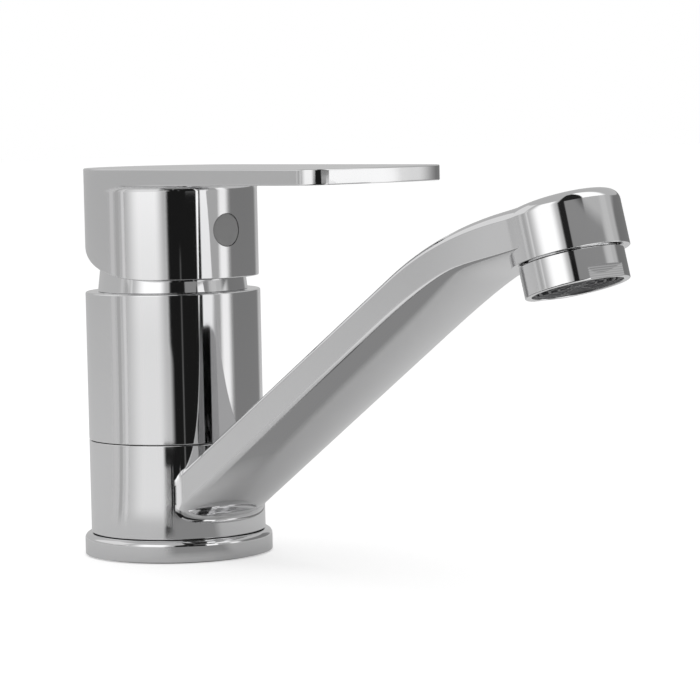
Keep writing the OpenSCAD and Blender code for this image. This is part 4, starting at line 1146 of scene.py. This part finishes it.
def lever_plan(inset=0.0, steps=40):
    """The lever's plan and its outward directions, counterclockwise from the tip's middle."""
    tip_x = LEVER_REACH - LEVER_TIP_R
    corner_y = CAP_R - LEVER_CORNER_R
    corner_x = tip_x + math.sqrt((LEVER_TIP_R - LEVER_CORNER_R) ** 2 - corner_y**2)
    swing = math.asin(corner_y / (LEVER_TIP_R - LEVER_CORNER_R))
    half = steps // 2

    def bow(x, y, r, angles):
        return [(x + r * math.cos(a), y + r * math.sin(a), math.cos(a), math.sin(a)) for a in angles]

    corner = [swing + (math.pi / 2 - swing) * k / half for k in range(half + 1)]
    spots = bow(tip_x, 0, LEVER_TIP_R, [swing * k / half for k in range(half)])
    spots += bow(corner_x, corner_y, LEVER_CORNER_R, corner)
    spots += [(corner_x * (1 - k / steps), CAP_R, 0, 1) for k in range(1, steps)]
    spots += bow(0, 0, CAP_R, [math.pi / 2 + math.pi * k / 128 for k in range(129)])
    spots += [(x, -y, nx, -ny) for x, y, nx, ny in spots[1 : 2 * half + steps][::-1]]
    plan = np.array([(x - inset * nx, y - inset * ny) for x, y, nx, ny in spots])
    return plan, np.array([(nx, ny) for _, _, nx, ny in spots])


def cap_edge_z(x):
    """Height of the cap's arched lower edge."""
    x = np.asarray(x, float)
    fall = CAP_CUT_R - np.sqrt(np.maximum(CAP_CUT_R**2 - (x - CAP_CUT_X) ** 2, 0))
    return CAP_FRONT_Z + np.where(x < CAP_CUT_X, fall, 0)


def lever_skin(edge):
    """The flat top plate: rounded long edges and an underside that thins towards the tip."""
    plan, out = lever_plan()
    n = len(plan)
    taper = (LEVER_ROOT_H - LEVER_TIP_H) / (LEVER_REACH - CAP_R)

    def under(x):
        return LEVER_UNDER_Z + np.maximum(x - CAP_R, 0) * taper

    # The lower edges are rounded only beyond the cap.
    fade = ease((plan[:, 0] - 14) / 6)
    steps = 5
    rows = []
    for k in range(steps + 1):
        a = math.radians(90 * (1 - k / steps))
        r = np.maximum(edge * fade, 1e-4)
        spot = plan - out * (r * (1 - math.cos(a)))[:, None]
        z = under(plan[:, 0]) + r * (1 - math.sin(a))
        round_n = np.column_stack([out * math.cos(a), np.full(n, -math.sin(a))])
        side_n = np.column_stack([out, np.zeros(n)])
        rows.append((np.column_stack([spot, z]), unit(np.where(fade[:, None] > 0.02, round_n, side_n))))
    for k in range(steps + 1):
        a = math.radians(90 * k / steps)
        spot = plan - out * (edge * (1 - math.cos(a)))
        z = np.full(n, HANDLE_TOP_Z - edge * (1 - math.sin(a)))
        round_n = np.column_stack([out * math.cos(a), np.full(n, math.sin(a))])
        rows.append((np.column_stack([spot, z]), round_n))
    skin = Skin()
    rings = skin.stack(rows)
    skin.face(rings[-1], [(0, 0, 1)] * n)
    # The underside is a row of flat strips across, because it bends where the taper starts.
    low = rings[0]
    half = n // 2
    down = unit(np.array([taper, 0, -1.0]))
    for k in range(half):
        a, b = low[k], low[(k + 1) % n]
        c, d = low[(n - k - 1) % n], low[(n - k) % n]
        level = [down if skin.points[i][0] > CAP_R else (0, 0, -1) for i in (a, b, c, d)]
        if len({a, b, c, d}) < 4:
            corners = list(dict.fromkeys((a, b, c, d)))
            skin.face(corners[::-1], [level[0]] * len(corners))
        else:
            skin.face((d, c, b, a), level[::-1])
    return skin


def cap_skin(edge, count):
    """The cap as a solid drum whose lower edge follows the long arch."""
    a = np.arange(count) * 2 * math.pi / count
    out = np.column_stack([np.cos(a), np.sin(a)])
    down = np.tile((0.0, 0, -1), (count, 1))
    wall = np.column_stack([out, np.zeros(count)])
    rows = [([(0, 0, float(cap_edge_z(0)))], down)]
    for r in (6.0, 12.0, 18.0, 21.5, CAP_INNER_R, 23.5, CAP_R - edge):
        rows.append((np.column_stack([out * r, cap_edge_z(out[:, 0] * r)]), down))
    for k in range(1, 7):
        t = math.radians(90 * k / 6)
        z = cap_edge_z(out[:, 0] * CAP_R) + edge * (1 - math.cos(t))
        spot = np.column_stack([out * (CAP_R - edge * (1 - math.sin(t))), z])
        rows.append((spot, np.column_stack([out * math.sin(t), np.full(count, -math.cos(t))])))
    # The wall ends in a narrower lip that sinks into the plate above.
    lip_r, lip_z = CAP_R - 0.6, LEVER_UNDER_Z + 0.8
    spots = [(CAP_R, 92.0), (CAP_R, 99.0), (CAP_R, LEVER_UNDER_Z), (lip_r, LEVER_UNDER_Z), (lip_r, lip_z)]
    for r, z in spots:
        rows.append((np.column_stack([out * r, np.full(count, z)]), wall))
    skin = Skin()
    rings = skin.stack(rows)
    skin.face(rings[-1], [(0, 0, 1)] * count)
    return skin


class TAP_OT_handle(bpy.types.Operator):
    """Builds the cap and its flat lever in one casting, with the boss inside"""

    bl_idname = "tap.handle"
    bl_label = "Handle"

    def execute(self, context):
        shape = context.scene.tap_shape
        edge = shape.lever_edge / MM
        plate = lever_skin(edge)
        drum = cap_skin(edge, 256)
        centre = (CAP_R + LEVER_FILLET_R, LEVER_UNDER_Z - LEVER_FILLET_R)
        fillet = lathe(
            [
                (CAP_R - 1, centre[1]),
                arc(centre, LEVER_FILLET_R, 180, 90, 12, hollow=True),
                (centre[0], LEVER_UNDER_Z + 0.4), (CAP_R - 1, LEVER_UNDER_Z + 0.4),
            ],
            256,
        )
        plan, out = lever_plan(0.01)
        trim = prism(plan, LEVER_UNDER_Z - 8, LEVER_UNDER_Z + 8, out)
        ceiling = LEVER_UNDER_Z + 0.2
        hollow = cylinder(CAP_INNER_R, 70, ceiling, 256)
        boss = cylinder(BOSS_R, BOSS_FOOT_Z, ceiling + 0.5, 96)
        reach, half = LUG
        lug = prism([(0, -half), (reach, -half), (reach, half), (0, half)], LUG_FOOT_Z, ceiling + 0.5)
        half = SQUARE_HALF
        square = prism([(-half, -half), (half, -half), (half, half), (-half, half)], *SQUARE_Z)
        hole_r, hole_x = PLUG_HOLE
        profile = [(0, 0), (GRUB_R, 0), (GRUB_R, hole_x), (hole_r, hole_x), (hole_r, 27), (0, 27)]
        bore = lathe(profile, 96)
        bore = bore.moved(at(0, 0, PLUG_Z) @ turned(90, "Y"))
        obj = solid("handle", drum)
        web = solid("web", fillet)
        carve(web, trim, "INTERSECT")
        carve(obj, plate, "UNION")
        carve(obj, web, "UNION")
        carve(obj, hollow)
        for tool in (boss, lug):
            carve(obj, tool, "UNION")
        for tool in (square, bore):
            carve(obj, tool)
        polished(obj, [drum, plate, fillet, trim, hollow, boss, lug, square, bore])
        finished(obj, "handle", "chrome", "handle")
        return {"FINISHED"}


class TAP_OT_plug(bpy.types.Operator):
    """Builds the round index plug, which lies flush in the cap's wall"""

    bl_idname = "tap.plug"
    bl_label = "Index Plug"

    def execute(self, context):
        count = 96
        face_r = CAP_R - PLUG_SUNK
        a = np.arange(count) * 2 * math.pi / count
        side = np.column_stack([np.zeros(count), np.cos(a), np.sin(a)])

        def wall_x(r):
            return np.sqrt(face_r**2 - (r * np.cos(a)) ** 2)

        def disc_ring(r, sink):
            return np.column_stack([wall_x(r) - sink, r * np.cos(a), PLUG_Z + r * np.sin(a)])

        def wall_normal(r):
            return np.column_stack([wall_x(r), r * np.cos(a), np.zeros(count)]) / face_r

        rows = [([(face_r, 0, PLUG_Z)], np.tile((1.0, 0, 0), (count, 1)))]
        rows += [(disc_ring(r, 0), wall_normal(r)) for r in np.linspace(0.6, PLUG_R - PLUG_EDGE_R, 8)]
        for k in range(1, 6):
            t = math.radians(90 * k / 5)
            ring = disc_ring(PLUG_R - PLUG_EDGE_R * (1 - math.sin(t)), PLUG_EDGE_R * (1 - math.cos(t)))
            rows.append((ring, unit(wall_normal(PLUG_R) * math.cos(t) + side * math.sin(t))))
        back = np.column_stack([np.full(count, PLUG_BACK_X), PLUG_R * np.cos(a), PLUG_Z + PLUG_R * np.sin(a)])
        rows.append((back, side))
        skin = Skin()
        rings = skin.stack(rows, flip=True)
        skin.face(rings[-1][::-1], [(-1, 0, 0)] * count)
        made("plug", skin, [], [], "handle", "plug_plastic", "index_plug")
        return {"FINISHED"}


class TAP_OT_inner_parts(bpy.types.Operator):
    """Gives every solid that stays as it is the finish of its slot"""

    bl_idname = "tap.inner_parts"
    bl_label = "Inner Parts"

    def execute(self, context):
        slots = {row["node"]: row["material_slot"] for row in frame["record"]["subparts"]}
        for name, node in frame["nodes"].items():
            if not node.hide_render:
                node.data.materials.clear()
                node.data.materials.append(finish_of(slots[name]))
        return {"FINISHED"}


CARDS = [
    # name, from and to in degrees right of the camera, distances, low and high edge, brightness low and high,
    # soft margins in degrees, and how near to the tap its foot comes along the floor
    ("main_softbox", -67, -8, 850, 900, 0, 800, 0.9, 1.3, 25, 14, 100),
    ("left_gap", -79, -72, 700, 700, 0, 300, 0.46, 0.46, 2, 2, 90),
    ("left_strip", -70, -63, 690, 690, 0, 300, 0.74, 0.74, 3, 2, 90),
    ("left_edge", -90, -80, 700, 700, 0, 300, 0.63, 0.63, 4, 2, 90),
    ("front_flag", -8, 19, 880, 300, 0, 420, 0.012, 0.012, 5, 1, 0),
    ("near_flag", -18, 4, 262, 256, 0, 9, 0.012, 0.012, 5, 2, 52),
    ("low_flag", -7, 31.6, 260, 240, 0, 106, 0.012, 0.012, 7, 0.3, 95),
    ("hair_line", 8.5, 11.5, 238, 238, 0, 80, 0.13, 0.05, 1.4, 1.4, 0),
    ("white_strip", 31.6, 46, 240, 240, 0, 106, 1.25, 1.25, 0.3, 0.5, 125),
    ("grey_card", 45, 63, 300, 330, 0, 110, 0.4, 0.5, 1, 3, 130),
    ("bright_card", 60, 80, 330, 330, 0, 112, 1.12, 1.0, 7, 8, 140),
    ("lever_card", 40, 80, 285, 285, 100.3, 109, 1.2, 1.2, 3, 14, 0),
    ("lever_end", 70, 95, 290, 290, 100.3, 109, 0.85, 0.85, 8, 12, 0),
    ("upper_grey", 17, 58, 305, 345, 104, 176, 0.2, 0.3, 1, 6, 0),
    ("upper_bright", 56, 72, 350, 350, 104, 260, 0.62, 0.62, 6, 5, 0),
    ("dim_wall", 76, 150, 345, 345, 0, 175, 0.24, 0.2, 8, 12, 0),
    ("high_flag", 5, 37.5, 346, 346, 158, 1500, 0.02, 0.02, 4, 2, 0),
    ("top_card", 37, 76, 344, 344, 190, 1500, 1.3, 1.3, 1, 12, 0),
    ("high_left", -135, -66, 700, 700, 170, 900, 0.85, 0.85, 10, 10, 0),
]

CARD_COLUMNS, CARD_ROWS, FOOT_ROWS = 40, 12, 5
FOOT_REACH = 45.0
FLOOR_CLEAR = 0.4
BRIGHT_TOP_Z = 160

# The shade's sides in degrees right of the camera and its near and far edge, each with its soft margins.
SHADE_TURN, SHADE_SIDES = (-14, 51), (12, 12)
SHADE_REACH, SHADE_ENDS = (34, 132), (15, 20)
SHADE_COLUMNS, SHADE_ROWS = 24, 16
SHADE_Z = 0.6
SHADE_GLOW = 0.28

# From the arm's own direction round to the picture's right.
PICTURE_TURN = math.radians(51)


def studio_place(turn, reach, z):
    """A place in metres, from degrees right of the camera and millimetres from the tap's axis."""
    a = math.radians(turn)
    x, y = reach * math.sin(a), reach * math.cos(a)
    c, s = math.cos(PICTURE_TURN), math.sin(PICTURE_TURN)
    return ((x * c + y * s) * MM, (x * s - y * c) * MM, z * MM)


def soft_step(t, start, end, margins):
    """0 at both ends and 1 between them, eased over the two margins."""
    return float(ease((t - start) / margins[0]) * ease((end - t) / margins[1]))


def card_material():
    """Glows by one attribute of the card and fades out by another."""
    made, tree, mix = material("studio_card", "ShaderNodeMixShader")
    glow = add_node(tree, "ShaderNodeAttribute", attribute_name="glow").outputs["Fac"]
    cover = add_node(tree, "ShaderNodeAttribute", attribute_name="cover").outputs["Fac"]
    tree.links.new(cover, mix.inputs[0])
    tree.links.new(tree.nodes.new("ShaderNodeBsdfTransparent").outputs[0], mix.inputs[1])
    tree.links.new(add_node(tree, "ShaderNodeEmission", {"Strength": glow}).outputs[0], mix.inputs[2])
    return made


def reflected(name, surface, columns):
    """A sheet that only polished surfaces see, from columns of (place, glow, cover)."""
    per = len(columns[0])
    faces = [
        (i * per + k, (i + 1) * per + k, (i + 1) * per + k + 1, i * per + k + 1)
        for i in range(len(columns) - 1)
        for k in range(per - 1)
    ]
    places, glow, cover = zip(*[spot for column in columns for spot in column])
    mesh = bpy.data.meshes.new(name)
    mesh.from_pydata(places, [], faces)
    for label, values in (("glow", glow), ("cover", cover)):
        mesh.attributes.new(label, "FLOAT", "POINT").data.foreach_set("value", values)
    mesh.materials.append(surface)
    obj = new_object(name, mesh)
    for ray in ("camera", "diffuse", "transmission", "volume_scatter", "shadow"):
        setattr(obj, "visible_" + ray, False)


def card(name, surface, start, end, far_start, far_end, low, high, dim, bright, soft_start, soft_end, foot):
    """A curved card round the tap, with a foot that fades out along the floor."""
    columns = []
    for i in range(CARD_COLUMNS + 1):
        t = i / CARD_COLUMNS
        turn = start + (end - start) * t
        far = far_start + (far_end - far_start) * t
        side = 0.0 if i in (0, CARD_COLUMNS) else soft_step(turn, start, end, (soft_start, soft_end))
        column = []
        for k in range(FOOT_ROWS + 1 if foot else 0):
            share = k / FOOT_ROWS
            place = studio_place(turn, foot + FOOT_REACH * share, FLOOR_CLEAR)
            column.append((place, dim, side * float(ease(share))))
        for k in range(CARD_ROWS + 1):
            z = low + (high - low) * k / CARD_ROWS
            glow = dim + (bright - dim) * min(1.0, max(z, 0) / BRIGHT_TOP_Z)
            cover = side if k < CARD_ROWS else 0.0
            column.append((studio_place(turn, far, max(z, FLOOR_CLEAR)), glow, cover))
        columns.append(column)
    reflected(name, surface, columns)


def shade(surface):
    """A painted shadow: the dark sheet under the arm, where it shades the floor, which its own belly
    reflects.
    """
    columns = []
    for i in range(SHADE_COLUMNS + 1):
        turn = SHADE_TURN[0] + (SHADE_TURN[1] - SHADE_TURN[0]) * i / SHADE_COLUMNS
        side = soft_step(turn, *SHADE_TURN, SHADE_SIDES)
        column = []
        for k in range(SHADE_ROWS + 1):
            reach = SHADE_REACH[0] + (SHADE_REACH[1] - SHADE_REACH[0]) * k / SHADE_ROWS
            cover = side * soft_step(reach, *SHADE_REACH, SHADE_ENDS)
            column.append((studio_place(turn, reach, SHADE_Z), SHADE_GLOW, cover))
        columns.append(column)
    reflected("shade", surface, columns)


# In metres. The camera's lens, place and axes (right, up and back) follow the photograph's viewing angle.
FLOOR_HALF = 6.0
SOFTBOX_SIZE = 1.2
SOFTBOX_WATTS = 4
SOFTBOX_PLACE = (0.2, -0.2, 1.5)
CAMERA_LENS = 160.67
CAMERA_PLACE = (0.69530, -0.56304, 0.12662)
CAMERA_AXES = [
    (0.673074, 0.739289, -0.020557),
    (-0.043650, 0.067455, 0.996767),
    (0.738286, -0.670001, 0.077672),
]


class TAP_OT_studio(bpy.types.Operator):
    """Builds the pale floor, the cards that the chrome reflects, the soft light and the camera"""

    bl_idname = "tap.studio"
    bl_label = "Studio"

    def execute(self, context):
        studio = context.scene.tap_studio
        self.floor(studio)
        surface = card_material()
        for row in CARDS:
            card(row[0], surface, *row[1:])
        shade(surface)
        self.light(context)
        self.surround(context, studio)
        self.camera(context)
        return {"FINISHED"}

    def floor(self, studio):
        mesh = bpy.data.meshes.new("floor")
        half = FLOOR_HALF
        corners = [(-half, -half, 0), (half, -half, 0), (half, half, 0), (-half, half, 0)]
        mesh.from_pydata(corners, [], [(0, 1, 2, 3)])
        obj = new_object("floor", mesh)
        made, tree, shader = material("studio_floor")
        path = tree.nodes.new("ShaderNodeLightPath").outputs
        shader.inputs["Base Color"].default_value = (*studio.floor_colour, 1)
        shader.inputs["Roughness"].default_value = 0.8
        shader.inputs["Specular IOR Level"].default_value = 0.2
        shader.inputs["Emission Color"].default_value = (1, 1, 1, 1)
        seen = math_node(tree, "MAXIMUM", path["Is Camera Ray"], path["Is Transmission Ray"])
        lift = math_node(tree, "MULTIPLY", seen, studio.floor_lift)
        tree.links.new(lift, shader.inputs["Emission Strength"])
        obj.data.materials.append(made)

    def light(self, context):
        lamp = bpy.data.lights.new("softbox", "AREA")
        lamp.shape = "SQUARE"
        lamp.size = SOFTBOX_SIZE
        lamp.energy = SOFTBOX_WATTS
        obj = new_object("softbox", lamp)
        obj.location = SOFTBOX_PLACE
        obj.visible_glossy = False

    def surround(self, context, studio):
        world = bpy.data.worlds.new("studio")
        context.scene.world = world
        world.use_nodes = True
        tree = world.node_tree
        tree.nodes.clear()
        path = tree.nodes.new("ShaderNodeLightPath").outputs

        def backdrop(strength):
            white = {"Color": (1, 1, 1, 1), "Strength": strength}
            return add_node(tree, "ShaderNodeBackground", white).outputs[0]

        def mixed(switch, off, on):
            return add_node(tree, "ShaderNodeMixShader", {0: switch, 1: off, 2: on}).outputs[0]

        walls = mixed(path["Is Glossy Ray"], backdrop(studio.daylight), backdrop(studio.surround))
        clear = math_node(tree, "MAXIMUM", path["Is Camera Ray"], path["Is Transmission Ray"])
        add_node(tree, "ShaderNodeOutputWorld", {"Surface": mixed(clear, walls, backdrop(1))})
        context.scene.view_settings.view_transform = "Standard"

    def camera(self, context):
        data = bpy.data.cameras.new("camera")
        data.lens = CAMERA_LENS
        data.sensor_width = 36
        obj = new_object("camera", data)
        turn = Matrix([Vector(axis) for axis in CAMERA_AXES]).transposed().to_4x4()
        obj.matrix_world = Matrix.Translation(CAMERA_PLACE) @ turn
        context.scene.camera = obj


PIECES = ["flange", "barrel", "collar", "spout", "sleeve", "grid", "handle", "plug", "inner_parts", "studio"]


class TAP_PT_panel(bpy.types.Panel):
    """Lists the tap's pieces, sizes and finishes"""

    bl_idname = "TAP_PT_panel"
    bl_label = "Mixer Tap"
    bl_space_type = "VIEW_3D"
    bl_region_type = "UI"
    bl_category = "Mixer Tap"

    def draw(self, context):
        layout = self.layout
        for settings in (context.scene.tap_shape, context.scene.tap_finish, context.scene.tap_studio):
            box = layout.box()
            for name in settings.bl_rna.properties.keys():
                if name not in ("rna_type", "name"):
                    box.prop(settings, name)
        for piece in PIECES:
            layout.operator("tap." + piece)


CLASSES = [
    TapShape, TapFinish, TapStudio,
    TAP_OT_flange, TAP_OT_barrel, TAP_OT_collar, TAP_OT_spout, TAP_OT_sleeve, TAP_OT_grid,
    TAP_OT_handle, TAP_OT_plug, TAP_OT_inner_parts, TAP_OT_studio, TAP_PT_panel,
]


def register():
    for made in CLASSES:
        bpy.utils.register_class(made)
    bpy.types.Scene.tap_shape = PointerProperty(type=TapShape)
    bpy.types.Scene.tap_finish = PointerProperty(type=TapFinish)
    bpy.types.Scene.tap_studio = PointerProperty(type=TapStudio)


def unregister():
    del bpy.types.Scene.tap_studio
    del bpy.types.Scene.tap_finish
    del bpy.types.Scene.tap_shape
    for made in reversed(CLASSES):
        bpy.utils.unregister_class(made)


def main():
    register()
    for piece in PIECES:
        getattr(bpy.ops.tap, piece)()


if __name__ == "__main__":
    main()
